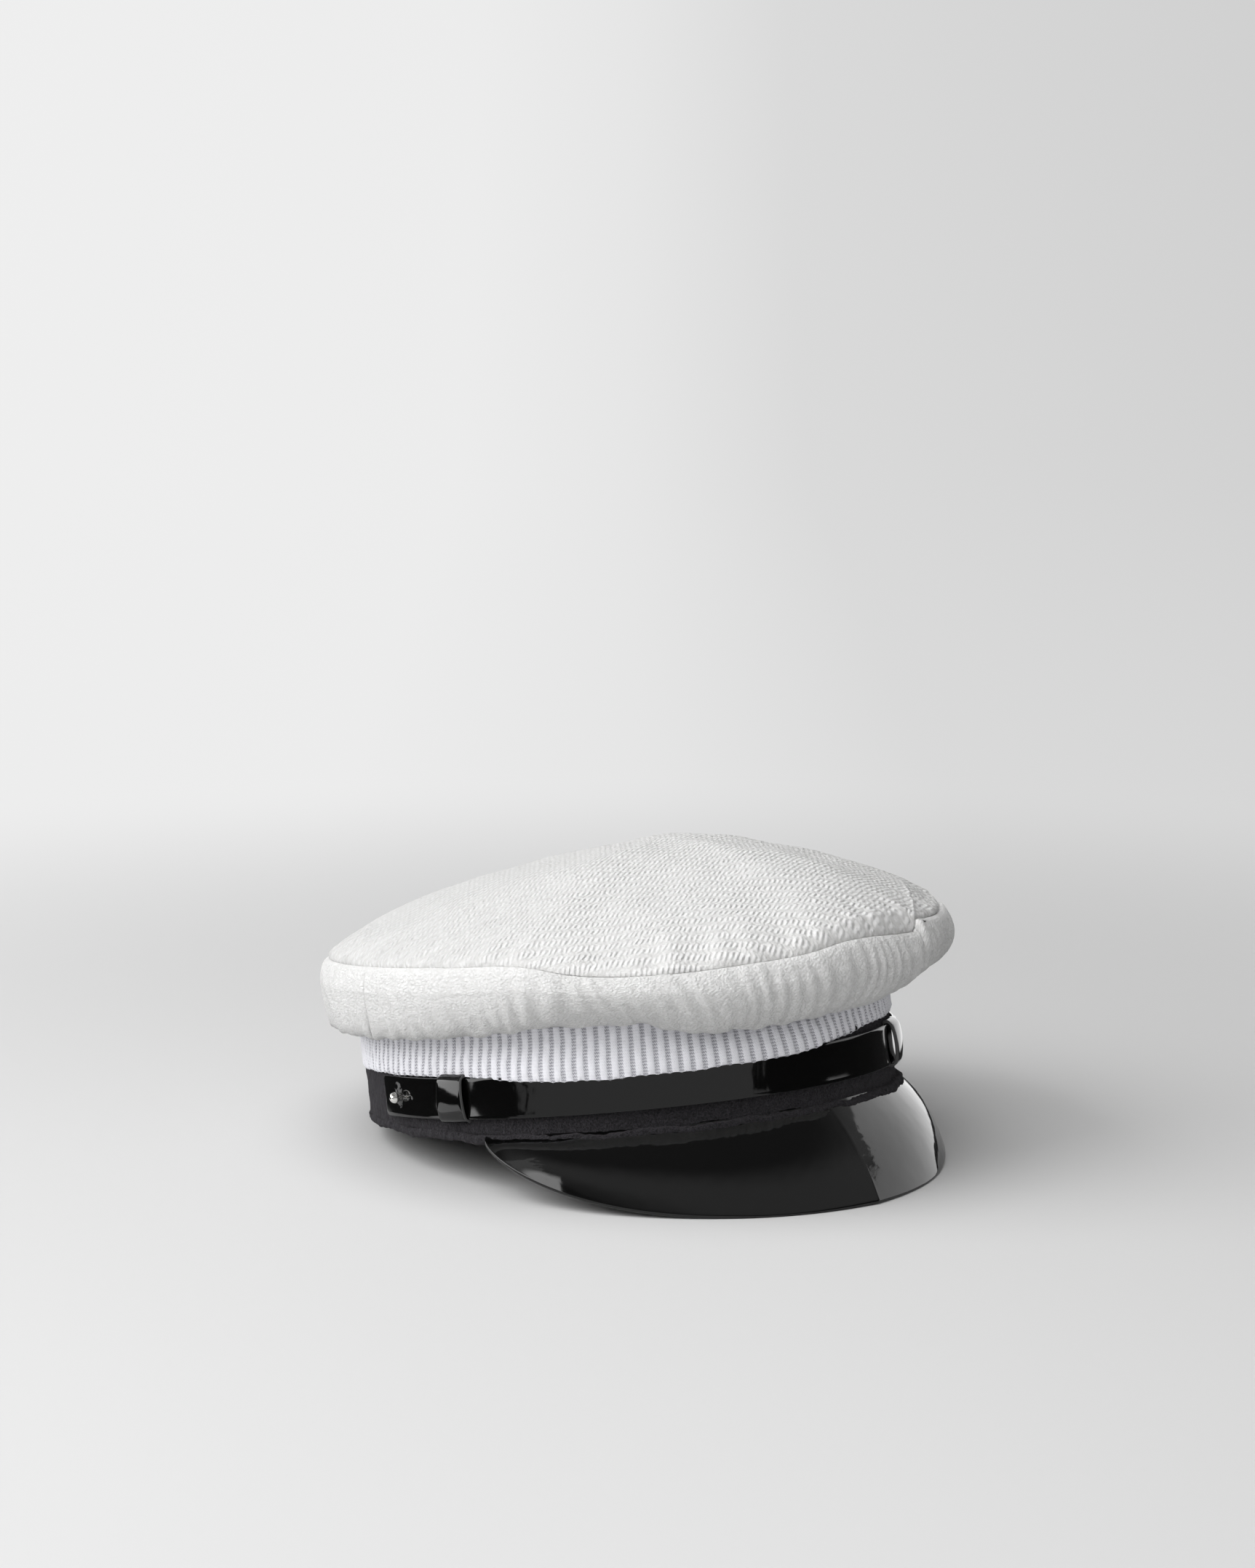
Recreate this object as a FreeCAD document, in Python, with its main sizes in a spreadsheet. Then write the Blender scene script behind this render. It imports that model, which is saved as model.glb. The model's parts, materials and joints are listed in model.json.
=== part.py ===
"""Peaked cap: soft white crown, rib-knit and felt band, patent visor and a patent chin strap on two ball studs.

The cap is drawn in its own datum: the lower edge of the band lies in the plane z = 0, the wearer looks along -Y
and the wearer's left is +X. seat_cap() then tips every piece back together, so that the cap stands on its visor
rim and on the rear edge of its band, with the origin under the middle of its bounding box.
All lengths are millimetres. Headings are degrees from straight ahead, positive towards the wearer's left.
"""

import FreeCAD
import Part
import math
import os
import Sketcher

V = FreeCAD.Vector
UP = V(0, 0, 1)

DRIVING = {
    # band plan, drafted as a four-centre oval
    "band_length": 206.0,
    "band_width": 184.0,
    "end_radius": 79.0,
    # band layers, measured inwards from the outside of the felt
    "felt_thick": 1.8,
    "stiffener_thick": 0.9,
    "sweat_thick": 1.1,
    "rib_thick": 1.4,
    "stiffener_bottom": 0.5,
    "sweat_bottom": 0.8,
    "binding_height": 3.4,
    "binding_proud": 0.2,
    "binding_round": 1.3,
    "band_top": 34.0,
    "sweat_top": 31.0,
    "rib_bottom": 22.0,
    "rib_round": 0.6,
    "rib_top": 38.0,
    # crown
    "crown_length": 240.0,
    "crown_width": 218.0,
    "crown_forward": 8.0,
    "seam_height": 57.0,
    "dome_rise": 34.0,
    "crown_bottom": 36.0,
    "mouth_gap": 1.6,
    "crown_fabric": 1.2,
    "crown_wadding": 1.6,
    "crown_lining": 0.5,
    "seam_right": -100.0,
    "seam_left": 13.0,
    "seam_back": 136.0,
    # visor
    "visor_root": 25.5,
    "visor_drop": 34.8,
    "visor_slope": 57.0,
    "rim_radius": 196.6,
    "patent_thick": 0.7,
    "board_thick": 1.0,
    "visor_lining": 0.5,
    # chin strap, measured outwards from the outside of the felt
    "strap_bottom": 6.0,
    "strap_height": 14.4,
    "strap_thick": 0.6,
    "strap_standoff": 0.95,
    "tab_heading": 105.0,
    "tab_corner": 2.2,
    "upper_end": 47.0,
    "under_end": -75.0,
    "strap_hair": 0.05,
    "slit_length": 6.0,
    "slit_width": 0.8,
    # stud
    "stud_heading": 98.65,
    "ball_radius": 2.0,
    "neck_radius": 1.15,
    "stud_foot": 2.9,
    "foot_gap": 0.1,
    "foot_thick": 0.7,
    "ball_height": 4.5,
    "post_play": 0.1,
    "washer_thick": 0.9,
    "washer_room": 1.1,
    "keyhole_radius": 1.5,
    "washer_radius": 4.5,
    # keepers
    "right_keeper": -82.8,
    "left_keeper": 36.4,
    "keeper_width": 11.6,
    "keeper_wall": 1.3,
    "keeper_back": 0.5,
    "keeper_play": 0.1,
    "keeper_room": 1.1,
    "keeper_corner": 2.8,
    "keeper_back_corner": 0.8,
}

doc = FreeCAD.newDocument("PeakedCap")
sheet = doc.addObject("Spreadsheet::Sheet", "Dims")
row = 1
for alias, value in DRIVING.items():
    sheet.set(f"A{row}", alias)
    sheet.set(f"B{row}", str(value))
    sheet.setAlias(f"B{row}", alias)
    row += 1
doc.recompute()


def dim(alias):
    """A driving dimension, read back from the sheet."""
    return float(sheet.get(alias))


# The four-centre oval: end arcs about (0, +-end_centre) and side arcs about (-+side_centre, 0).
HALF_WIDTH = dim("band_width") / 2
END_CENTRE = dim("band_length") / 2 - dim("end_radius")
SIDE_RADIUS = (END_CENTRE**2 + HALF_WIDTH**2 - dim("end_radius") ** 2) / (2 * (HALF_WIDTH - dim("end_radius")))
SIDE_CENTRE = SIDE_RADIUS - HALF_WIDTH
JOIN_HEADING = math.degrees(math.atan2(SIDE_CENTRE, END_CENTRE))

def rim_centre():
    """The centre of the rim's arc in side view, as (forward, height)."""
    tip = dim("band_length") / 2 + dim("visor_drop") / math.tan(math.radians(dim("visor_slope")))
    root = dim("visor_root")
    drop, radius = dim("visor_drop"), dim("rim_radius")
    chord = math.hypot(tip - root, drop)
    rise = math.sqrt(radius**2 - chord**2 / 4)
    return (root + tip) / 2 + rise * drop / chord, -drop / 2 + rise * (tip - root) / chord


STRAP_MIDDLE = dim("strap_bottom") + dim("strap_height") / 2
SKIRT_DEPTH = 45.0
DERIVED = {
    "end_centre": END_CENTRE,
    "side_radius": SIDE_RADIUS,
    "side_centre": SIDE_CENTRE,
    "skirt_depth": SKIRT_DEPTH,
    "skirt_run": SKIRT_DEPTH / math.tan(math.radians(dim("visor_slope"))),
    "keeper_angle": math.degrees(dim("keeper_width") / SIDE_RADIUS),
    "rim_forward": rim_centre()[0],
}
for alias, value in DERIVED.items():
    sheet.set(f"A{row}", alias)
    sheet.set(f"B{row}", str(value))
    sheet.setAlias(f"B{row}", alias)
    row += 1
doc.recompute()

NODES = []

# How far a cutting shape reaches past what it cuts.
CLEAR = 2.0


def keep(item, label):
    """Registers an object of the document as one physical piece."""
    item.Label = label
    NODES.append(item)
    return item


# ---------------------------------------------------------------- sketch helpers


def new_body(label):
    body = doc.addObject("PartDesign::Body", label + "_body")
    return body


def origin_plane(body, role):
    return next(o for o in body.Origin.OriginFeatures if o.Role == role)


def new_sketch(body, name, role="XY_Plane", height=None):
    """A sketch on one of the body's own planes, raised by an expression along the plane's normal."""
    sketch = body.newObject("Sketcher::SketchObject", name)
    sketch.AttachmentSupport = [(origin_plane(body, role), "")]
    sketch.MapMode = "FlatFace"
    if height is not None:
        sketch.setExpression("AttachmentOffset.Base.z", height)
    return sketch


def bound(sketch, kind, where, value, name, expression):
    """Adds one dimension to a sketch and binds it to the sheet."""
    index = sketch.addConstraint(Sketcher.Constraint(kind, *where, value))
    sketch.renameConstraint(index, name)
    sketch.setExpression("Constraints." + name, expression)


def add_oval(sketch, grow, tag):
    """Draws the band oval, grown outwards by an expression, as four fully constrained arcs."""
    extra = evaluate(grow)
    end, side = dim("end_radius") + extra, SIDE_RADIUS + extra
    join_y = side * END_CENTRE / (SIDE_RADIUS - dim("end_radius"))
    lean = math.atan2(END_CENTRE, SIDE_CENTRE)
    join_text = f"(Dims.side_radius + {grow}) * Dims.end_centre / (Dims.side_radius - Dims.end_radius)"
    arcs = (
        ("left", V(-SIDE_CENTRE, 0, 0), side, -lean, lean),
        ("rear", V(0, END_CENTRE, 0), end, lean, math.pi - lean),
        ("right", V(SIDE_CENTRE, 0, 0), side, math.pi - lean, math.pi + lean),
        ("front", V(0, -END_CENTRE, 0), end, math.pi + lean, 2 * math.pi - lean),
    )
    for name, centre, radius, start, stop in arcs:
        arc = sketch.addGeometry(Part.ArcOfCircle(Part.Circle(centre, UP, radius), start, stop))
        label = f"{tag}_{name}"
        radius_name = "side_radius" if name in ("left", "right") else "end_radius"
        bound(sketch, "Radius", (arc,), radius, label + "_radius", f"Dims.{radius_name} + {grow}")
        if name in ("left", "right"):
            sketch.addConstraint(Sketcher.Constraint("PointOnObject", arc, 3, -1))
            ends = (arc, 3, -1, 1) if name == "left" else (-1, 1, arc, 3)
            bound(sketch, "DistanceX", ends, SIDE_CENTRE, label + "_centre", "Dims.side_centre")
            low, high = (1, 2) if name == "left" else (2, 1)
            bound(sketch, "DistanceY", (arc, low, -1, 1), join_y, label + "_low", join_text)
            bound(sketch, "DistanceY", (-1, 1, arc, high), join_y, label + "_high", join_text)
        else:
            sketch.addConstraint(Sketcher.Constraint("PointOnObject", arc, 3, -2))
            rear = name == "rear"
            ends = (-1, 1, arc, 3) if rear else (arc, 3, -1, 1)
            bound(sketch, "DistanceY", ends, END_CENTRE, label + "_centre", "Dims.end_centre")
            for point in (1, 2):
                ends = (-1, 1, arc, point) if rear else (arc, point, -1, 1)
                bound(sketch, "DistanceY", ends, join_y, f"{label}_join{point}", join_text)


def add_ellipse(sketch, half_x, half_y, forward, tag):
    """Draws an ellipse about (0, -forward) with its half axes bound to expressions."""
    a, b, shift = evaluate(half_y), evaluate(half_x), evaluate(forward)
    centre = V(0, -shift, 0)
    curve = Part.Ellipse(V(0, a - shift, 0), V(b, -shift, 0), centre)
    index = sketch.addGeometry(curve)
    sketch.exposeInternalGeometry(index)
    sketch.addConstraint(Sketcher.Constraint("PointOnObject", index, 3, -2))
    if shift > 0:
        bound(sketch, "DistanceY", (index, 3, -1, 1), shift, tag + "_forward", forward)
    else:
        sketch.addConstraint(Sketcher.Constraint("PointOnObject", index, 3, -1))
    sketch.addConstraint(Sketcher.Constraint("Vertical", index + 1))
    bound(sketch, "Distance", (index + 1,), 2 * a, tag + "_length", f"2 * ({half_y})")
    bound(sketch, "Distance", (index + 2,), 2 * b, tag + "_width", f"2 * ({half_x})")


def evaluate(expression):
    """The present value of a sheet expression."""
    return float(FreeCAD.Units.Quantity(str(sheet.evalExpression(expression.replace("Dims.", "")))).Value)


def pad(body, sketch, length):
    feature = body.newObject("PartDesign::Pad", sketch.Name + "_pad")
    feature.Profile = sketch
    feature.setExpression("Length", length)
    body.Tip = feature
    return feature


def loft(body, kind, sketches):
    feature = body.newObject("PartDesign::" + kind, sketches[0].Name + "_loft")
    feature.Profile = sketches[0]
    feature.Sections = sketches[1:]
    body.Tip = feature
    return feature


def place(heading, offset, height):
    """A point beside the band: on the oval grown by offset, where its outward normal has this heading."""
    return oval_centre(heading) + outward(heading) * (oval_radius(heading) + offset) + V(0, 0, height)


def outward(heading):
    angle = math.radians(heading)
    return V(math.sin(angle), -math.cos(angle), 0)


def along(heading):
    """The band's tangent, in the direction of growing heading."""
    angle = math.radians(heading)
    return V(math.cos(angle), math.sin(angle), 0)


def on_side(heading):
    return JOIN_HEADING < abs(heading) < 180 - JOIN_HEADING


def oval_centre(heading):
    if on_side(heading):
        return V(-math.copysign(SIDE_CENTRE, heading), 0, 0)
    return V(0, -math.copysign(END_CENTRE, 90 - abs(heading)), 0)


def oval_radius(heading):
    return SIDE_RADIUS if on_side(heading) else dim("end_radius")


# ---------------------------------------------------------------- band


def band_ring(label, outer, inner, bottom, height):
    """A ring that follows the band: two ovals padded upwards. All four arguments are expressions."""
    body = new_body(label)
    sketch = new_sketch(body, label + "_plan", height=bottom)
    add_oval(sketch, outer, "outer")
    add_oval(sketch, inner, "inner")
    pad(body, sketch, height)
    return body


def stud_bore():
    """The two holes that the stud posts need through the felt and the stiffener."""
    holes = []
    for side in (-1, 1):
        heading = side * dim("stud_heading")
        hole = doc.addObject("Part::Cylinder", "post_hole")
        hole.setExpression("Radius", "Dims.neck_radius + Dims.post_play")
        hole.setExpression("Height", f"Dims.felt_thick + Dims.stiffener_thick + 2 * {CLEAR}")
        hole.Placement = FreeCAD.Placement(
            place(heading, CLEAR, STRAP_MIDDLE),
            FreeCAD.Rotation(UP, -outward(heading)),
        )
        holes.append(hole)
    both = doc.addObject("Part::Fuse", "post_holes")
    both.Base, both.Tool = holes
    return both


def bored(body, holes, label):
    cut = doc.addObject("Part::Cut", label)
    cut.Base = body
    cut.Tool = holes
    return keep(cut, label)


def round_edges(body, radius, wanted):
    """Fillets the edges of a body's tip that the test accepts."""
    tip = body.Tip
    doc.recompute()
    names = [f"Edge{i + 1}" for i, edge in enumerate(tip.Shape.Edges) if wanted(edge)]
    fillet = body.newObject("PartDesign::Fillet", tip.Name + "_round")
    fillet.Base = (tip, names)
    fillet.setExpression("Radius", radius)
    body.Tip = fillet


def build_band():
    holes = stud_bore()
    felt_rise = "Dims.band_top - Dims.binding_height"
    felt = band_ring("felt_band", "0", "-Dims.felt_thick", "Dims.binding_height", felt_rise)
    bored(felt, holes, "felt_band")
    stiffener = band_ring(
        "band_stiffener",
        "-Dims.felt_thick",
        "-Dims.felt_thick - Dims.stiffener_thick",
        "Dims.stiffener_bottom",
        "Dims.band_top - Dims.stiffener_bottom",
    )
    bored(stiffener, holes, "band_stiffener")

    binding = band_ring("felt_binding", "Dims.binding_proud", "-Dims.felt_thick", "0", "Dims.binding_height")
    proud = dim("binding_proud")
    round_edges(binding, "Dims.binding_round", lambda edge: is_level(edge) and outermost(edge, proud))
    keep(binding, "felt_binding")

    inset = "-Dims.felt_thick - Dims.stiffener_thick - Dims.washer_room"
    sweatband = band_ring(
        "sweatband", inset, inset + " - Dims.sweat_thick", "Dims.sweat_bottom", "Dims.sweat_top - Dims.sweat_bottom"
    )
    keep(sweatband, "sweatband")
    rib = band_ring("rib_knit_band", "Dims.rib_thick", "0", "Dims.rib_bottom", "Dims.rib_top - Dims.rib_bottom")
    round_edges(rib, "Dims.rib_round", lambda edge: is_level(edge) and outermost(edge, dim("rib_thick")))
    keep(rib, "rib_knit_band")


def is_level(edge):
    return edge.BoundBox.ZLength < 1e-6


def outermost(edge, offset):
    """True for the arcs of the oval that is grown by this offset."""
    if not hasattr(edge.Curve, "Radius"):
        return False
    radii = (dim("end_radius") + offset, SIDE_RADIUS + offset)
    return any(abs(edge.Curve.Radius - radius) < 1e-4 for radius in radii)


# ---------------------------------------------------------------- crown

# The side wall from the mouth to the seam: reach outwards, share of the height, and how far the wall's
# outward normal leans below level.
CROWN_WALL = (
    (0.00, 0.00, 90),
    (0.46, 0.06, 70),
    (0.78, 0.25, 42),
    (0.94, 0.55, 14),
    (1.00, 1.00, 0),
)


def crown_section(body, name, reach, share, lean, depth):
    """One ellipse of the crown's wall, moved in along the wall's normal by the expression depth."""
    out, down = math.cos(math.radians(lean)), math.sin(math.radians(lean))
    level = f"Dims.crown_bottom + (Dims.seam_height - Dims.crown_bottom) * {share} + ({depth}) * {down:.4f}"
    sketch = new_sketch(body, name, height=level)
    halves = [
        f"(Dims.{band} / 2 + Dims.mouth_gap) * {1 - reach:.2f} + Dims.{crown} / 2 * {reach} - ({depth}) * {out:.4f}"
        for band, crown in (("band_width", "crown_width"), ("band_length", "crown_length"))
    ]
    add_ellipse(sketch, *halves, f"Dims.crown_forward * {reach}", "wall")
    return sketch


def crown_wall(label, outer, inner):
    """A closed ring of the crown's side wall between two depths below its outer surface."""
    body = new_body(label)
    for kind, depth, tag in (("AdditiveLoft", outer, "out"), ("SubtractiveLoft", inner, "in")):
        sections = [
            crown_section(body, f"{label}_{tag}{i}", *wall, depth) for i, wall in enumerate(CROWN_WALL)
        ]
        loft(body, kind, sections)
    mouth = new_sketch(body, label + "_mouth", height=f"Dims.crown_bottom - {CLEAR}")
    add_ellipse(
        mouth,
        "Dims.band_width / 2 + Dims.mouth_gap",
        "Dims.band_length / 2 + Dims.mouth_gap",
        "0",
        "mouth",
    )
    hole = body.newObject("PartDesign::Pocket", label + "_mouth_cut")
    hole.Profile = mouth
    hole.setExpression("Length", f"Dims.crown_fabric + Dims.crown_wadding + Dims.crown_lining + 2 * {CLEAR}")
    hole.Reversed = True
    body.Tip = hole
    return body


def crown_dome(label, outer, inner):
    """A shell of the domed top between two depths below its outer surface."""
    shells = []
    for depth in (outer, inner):
        shell = doc.addObject("Part::Ellipsoid", label + "_shell")
        shell.Angle1 = 0
        shell.setExpression("Radius1", f"Dims.dome_rise - ({depth})")
        shell.setExpression("Radius2", f"Dims.crown_width / 2 - ({depth})")
        shell.setExpression("Radius3", f"Dims.crown_length / 2 - ({depth})")
        shell.setExpression("Placement.Base.y", "-Dims.crown_forward")
        shell.setExpression("Placement.Base.z", "Dims.seam_height")
        shells.append(shell)
    dome = doc.addObject("Part::Cut", label)
    dome.Base, dome.Tool = shells
    return keep(dome, label)


def build_crown():
    layers = (
        ("crown_top_panel", "crown_side_panels", "0", "Dims.crown_fabric"),
        ("crown_wadding_top", "crown_wadding_side", "Dims.crown_fabric", "Dims.crown_fabric + Dims.crown_wadding"),
        (
            "crown_lining_top",
            "crown_lining_side",
            "Dims.crown_fabric + Dims.crown_wadding",
            "Dims.crown_fabric + Dims.crown_wadding + Dims.crown_lining",
        ),
    )
    for top, side, outer, inner in layers:
        crown_dome(top, outer, inner)
        wall = crown_wall(side, outer, inner)
        if side == "crown_side_panels":
            split_panels(wall)
        else:
            keep(wall, side)


def split_panels(wall):
    """The white side wall is three panels, sewn at three upright seams."""
    panels = ("crown_side_front", "crown_side_left", "crown_side_back")
    seams = ("seam_right", "seam_left", "seam_back")
    for label, first, last in zip(panels, seams, seams[1:] + seams[:1]):
        sector = doc.addObject("Part::Cylinder", label + "_sector")
        sector.setExpression("Radius", "Dims.crown_length")
        sector.setExpression("Height", "Dims.seam_height")
        sector.setExpression("Angle", f"mod(Dims.{last} - Dims.{first} + 360; 360)")
        sector.Placement.Base = V(0, -dim("crown_forward"), CLEAR)
        sector.Placement.Rotation = FreeCAD.Rotation(UP, dim(first) - 90)
        panel = doc.addObject("Part::Common", label)
        panel.Base = wall
        panel.Tool = sector
        keep(panel, label)


# ---------------------------------------------------------------- visor


# The trimming sketch's frame: how far it reaches forward, down, to the rear and up.
TRIM_FRAME = (140.0, -60.0, 150.0, 5.0)


def trim_to_rim(body, label):
    """Cuts a conical skirt down to the visor: everything behind its root and below the rim's arc goes."""
    root, radius = dim("visor_root"), dim("rim_radius")
    forward, height = rim_centre()
    past, floor, behind, above = TRIM_FRAME
    end = height - math.sqrt(radius**2 - (past - forward) ** 2)
    sketch = new_sketch(body, label + "_rim", role="YZ_Plane")
    corners = [V(-root, 0, 0), V(-root, above, 0), V(behind, above, 0), V(behind, floor, 0), V(-past, floor, 0)]
    corners.append(V(-past, end, 0))
    lines = [sketch.addGeometry(Part.LineSegment(a, b)) for a, b in zip(corners, corners[1:])]
    start_angle = math.atan2(end - height, forward - past)
    stop_angle = math.atan2(-height, forward - root)
    arc = sketch.addGeometry(
        Part.ArcOfCircle(Part.Circle(V(-forward, height, 0), UP, radius), start_angle, stop_angle)
    )
    for first, second in zip(lines, lines[1:]):
        sketch.addConstraint(Sketcher.Constraint("Coincident", first, 2, second, 1))
    sketch.addConstraint(Sketcher.Constraint("Coincident", lines[-1], 2, arc, 1))
    sketch.addConstraint(Sketcher.Constraint("Coincident", arc, 2, lines[0], 1))
    for line, kind in zip(lines, ("Vertical", "Horizontal", "Vertical", "Horizontal", "Vertical")):
        sketch.addConstraint(Sketcher.Constraint(kind, line))
    sketch.addConstraint(Sketcher.Constraint("PointOnObject", lines[0], 1, -1))
    bound(sketch, "DistanceX", (lines[0], 1, -1, 1), root, "root", "Dims.visor_root")
    bound(sketch, "Radius", (arc,), radius, "rim", "Dims.rim_radius")
    bound(sketch, "DistanceX", (arc, 3, -1, 1), forward, "rim_forward", "Dims.rim_forward")
    sketch.addConstraint(Sketcher.Constraint("DistanceX", lines[-1], 2, -1, 1, past))
    sketch.addConstraint(Sketcher.Constraint("DistanceX", -1, 1, lines[2], 1, behind))
    sketch.addConstraint(Sketcher.Constraint("DistanceY", lines[2], 2, -1, 1, -floor))
    sketch.addConstraint(Sketcher.Constraint("DistanceY", -1, 1, lines[0], 2, above))
    trim = body.newObject("PartDesign::Pocket", label + "_trim")
    trim.Profile = sketch
    trim.Type = 1
    trim.Midplane = True
    body.Tip = trim


def visor_layer(label, outer, inner):
    """One ply of the visor, between two depths measured level into a conical skirt below the band."""
    body = new_body(label)
    for kind, inset, tag in (("AdditiveLoft", outer, "out"), ("SubtractiveLoft", inner, "in")):
        top = new_sketch(body, f"{label}_{tag}_top", height="0")
        add_oval(top, f"-({inset})", "top")
        foot = new_sketch(body, f"{label}_{tag}_foot", height="-Dims.skirt_depth")
        add_oval(foot, f"Dims.skirt_run - ({inset})", "foot")
        loft(body, kind, [top, foot])
    trim_to_rim(body, label)
    return keep(body, label)


def build_visor():
    level = 1 / math.sin(math.radians(dim("visor_slope")))
    patent = f"Dims.patent_thick * {level:.4f}"
    board = f"(Dims.patent_thick + Dims.board_thick) * {level:.4f}"
    lining = f"(Dims.patent_thick + Dims.board_thick + Dims.visor_lining) * {level:.4f}"
    visor_layer("visor_patent", "0", patent)
    visor_layer("visor_board", patent, board)
    visor_layer("visor_lining", board, lining)


# ---------------------------------------------------------------- chin strap


def add_chain(sketch, points):
    """Draws a closed chain of straight lines through these points."""
    ends = zip(points, points[1:] + points[:1])
    lines = [sketch.addGeometry(Part.LineSegment(a, b)) for a, b in ends]
    for first, second in zip(lines, lines[1:] + lines[:1]):
        sketch.addConstraint(Sketcher.Constraint("Coincident", first, 2, second, 1))
    return lines


def open_rear(body, label, start, stop):
    """Cuts the rear out of an oval ring. start and stop are the directions of its two ends, as expressions."""
    reach = dim("band_length")
    hubs = V(SIDE_CENTRE, 0, 0), V(-SIDE_CENTRE, 0, 0)
    ends = [hub + outward(evaluate(text)) * reach for hub, text in zip(hubs, (start, stop))]
    sketch = new_sketch(body, label + "_rear")
    lines = add_chain(sketch, [hubs[0], ends[0], V(-reach, reach, 0), V(reach, reach, 0), ends[1], hubs[1]])
    sketch.addConstraint(Sketcher.Constraint("Horizontal", lines[5]))
    sketch.addConstraint(Sketcher.Constraint("PointOnObject", lines[0], 1, -1))
    bound(sketch, "DistanceX", (-1, 1, lines[0], 1), SIDE_CENTRE, "right_hub", "Dims.side_centre")
    bound(sketch, "DistanceX", (lines[5], 1, -1, 1), SIDE_CENTRE, "left_hub", "Dims.side_centre")
    bound(sketch, "Distance", (lines[0],), reach, "start_reach", "Dims.band_length")
    bound(sketch, "Distance", (lines[4],), reach, "stop_reach", "Dims.band_length")
    angle = math.radians(evaluate(start) - 90)
    bound(sketch, "Angle", (lines[0],), angle, "start", f"({start} - 90) * 1 deg")
    angle = math.radians(evaluate(stop) + 90)
    bound(sketch, "Angle", (lines[4],), angle, "stop", f"({stop} + 90) * 1 deg")
    bound(sketch, "DistanceX", (lines[2], 1, -1, 1), reach, "left_corner", "Dims.band_length")
    bound(sketch, "DistanceX", (-1, 1, lines[3], 1), reach, "right_corner", "Dims.band_length")
    bound(sketch, "DistanceY", (-1, 1, lines[2], 1), reach, "left_depth", "Dims.band_length")
    bound(sketch, "DistanceY", (-1, 1, lines[3], 1), reach, "right_depth", "Dims.band_length")
    rear = body.newObject("PartDesign::Pocket", label + "_rear_cut")
    rear.Profile = sketch
    rear.Type = 1
    rear.Midplane = True
    body.Tip = rear


def keyhole(body, label, heading, slit_side):
    """Opens the stud hole with the slit that leads out of it, cut outwards from the felt."""
    radius, width, length = dim("keyhole_radius"), dim("slit_width"), dim("slit_length")
    sketch = body.newObject("Sketcher::SketchObject", label + "_keyhole")
    facing = FreeCAD.Rotation(along(heading) * slit_side, V(), outward(heading), "ZXY")
    sketch.Placement = FreeCAD.Placement(place(heading, 0, STRAP_MIDDLE), facing)
    mouth = math.asin(width / 2 / radius)
    start = V(radius * math.cos(mouth), width / 2, 0)
    points = [start, V(length, width / 2, 0), V(length, -width / 2, 0), V(start.x, -width / 2, 0)]
    lines = [sketch.addGeometry(Part.LineSegment(a, b)) for a, b in zip(points, points[1:])]
    circle = Part.Circle(V(0, 0, 0), UP, radius)
    arc = sketch.addGeometry(Part.ArcOfCircle(circle, mouth, 2 * math.pi - mouth))
    chain = ((arc, 1, lines[0], 1), (lines[0], 2, lines[1], 1), (lines[1], 2, lines[2], 1), (lines[2], 2, arc, 2))
    for ends in chain:
        sketch.addConstraint(Sketcher.Constraint("Coincident", *ends))
    sketch.addConstraint(Sketcher.Constraint("Coincident", arc, 3, -1, 1))
    sketch.addConstraint(Sketcher.Constraint("Horizontal", lines[0]))
    sketch.addConstraint(Sketcher.Constraint("Symmetric", lines[1], 1, lines[1], 2, -1))
    sketch.addConstraint(Sketcher.Constraint("Horizontal", lines[2]))
    bound(sketch, "Radius", (arc,), radius, "hole", "Dims.keyhole_radius")
    bound(sketch, "DistanceX", (-1, 1, lines[1], 1), length, "slit_reach", "Dims.slit_length")
    bound(sketch, "DistanceY", (lines[1], 2, lines[1], 1), width, "slit_opening", "Dims.slit_width")
    hole = body.newObject("PartDesign::Pocket", label + "_keyhole_cut")
    hole.Profile = sketch
    hole.Type = 1
    hole.Reversed = True
    body.Tip = hole


def build_strap(label, inner, start, stop, stud, slit_side):
    """One strap along the band, with round corners and a keyhole at its stud."""
    body = new_body(label)
    sketch = new_sketch(body, label + "_ovals", height="Dims.strap_bottom")
    add_oval(sketch, f"{inner} + Dims.strap_thick", "outside")
    add_oval(sketch, inner, "inside")
    pad(body, sketch, "Dims.strap_height")
    open_rear(body, label, start, stop)
    doc.recompute()
    low, high = dim("strap_bottom"), dim("strap_bottom") + dim("strap_height")

    def is_corner(edge):
        short = is_level(edge) and edge.Length < 2 * dim("strap_thick")
        return short and min(abs(edge.BoundBox.ZMin - z) for z in (low, high)) < 1e-6

    round_edges(body, "Dims.tab_corner", is_corner)
    keyhole(body, label, stud, slit_side)
    keep(body, label)


def build_straps():
    """Two straps that overlap along the front: the upper one buttons on the right stud, the under one on the left."""
    stud = dim("stud_heading")
    under = "Dims.strap_standoff"
    upper = "Dims.strap_standoff + Dims.strap_thick + Dims.strap_hair"
    build_strap("chin_strap_upper", upper, "-Dims.tab_heading", "Dims.upper_end", -stud, 1)
    build_strap("chin_strap_under", under, "Dims.under_end", "Dims.tab_heading", stud, -1)


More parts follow.
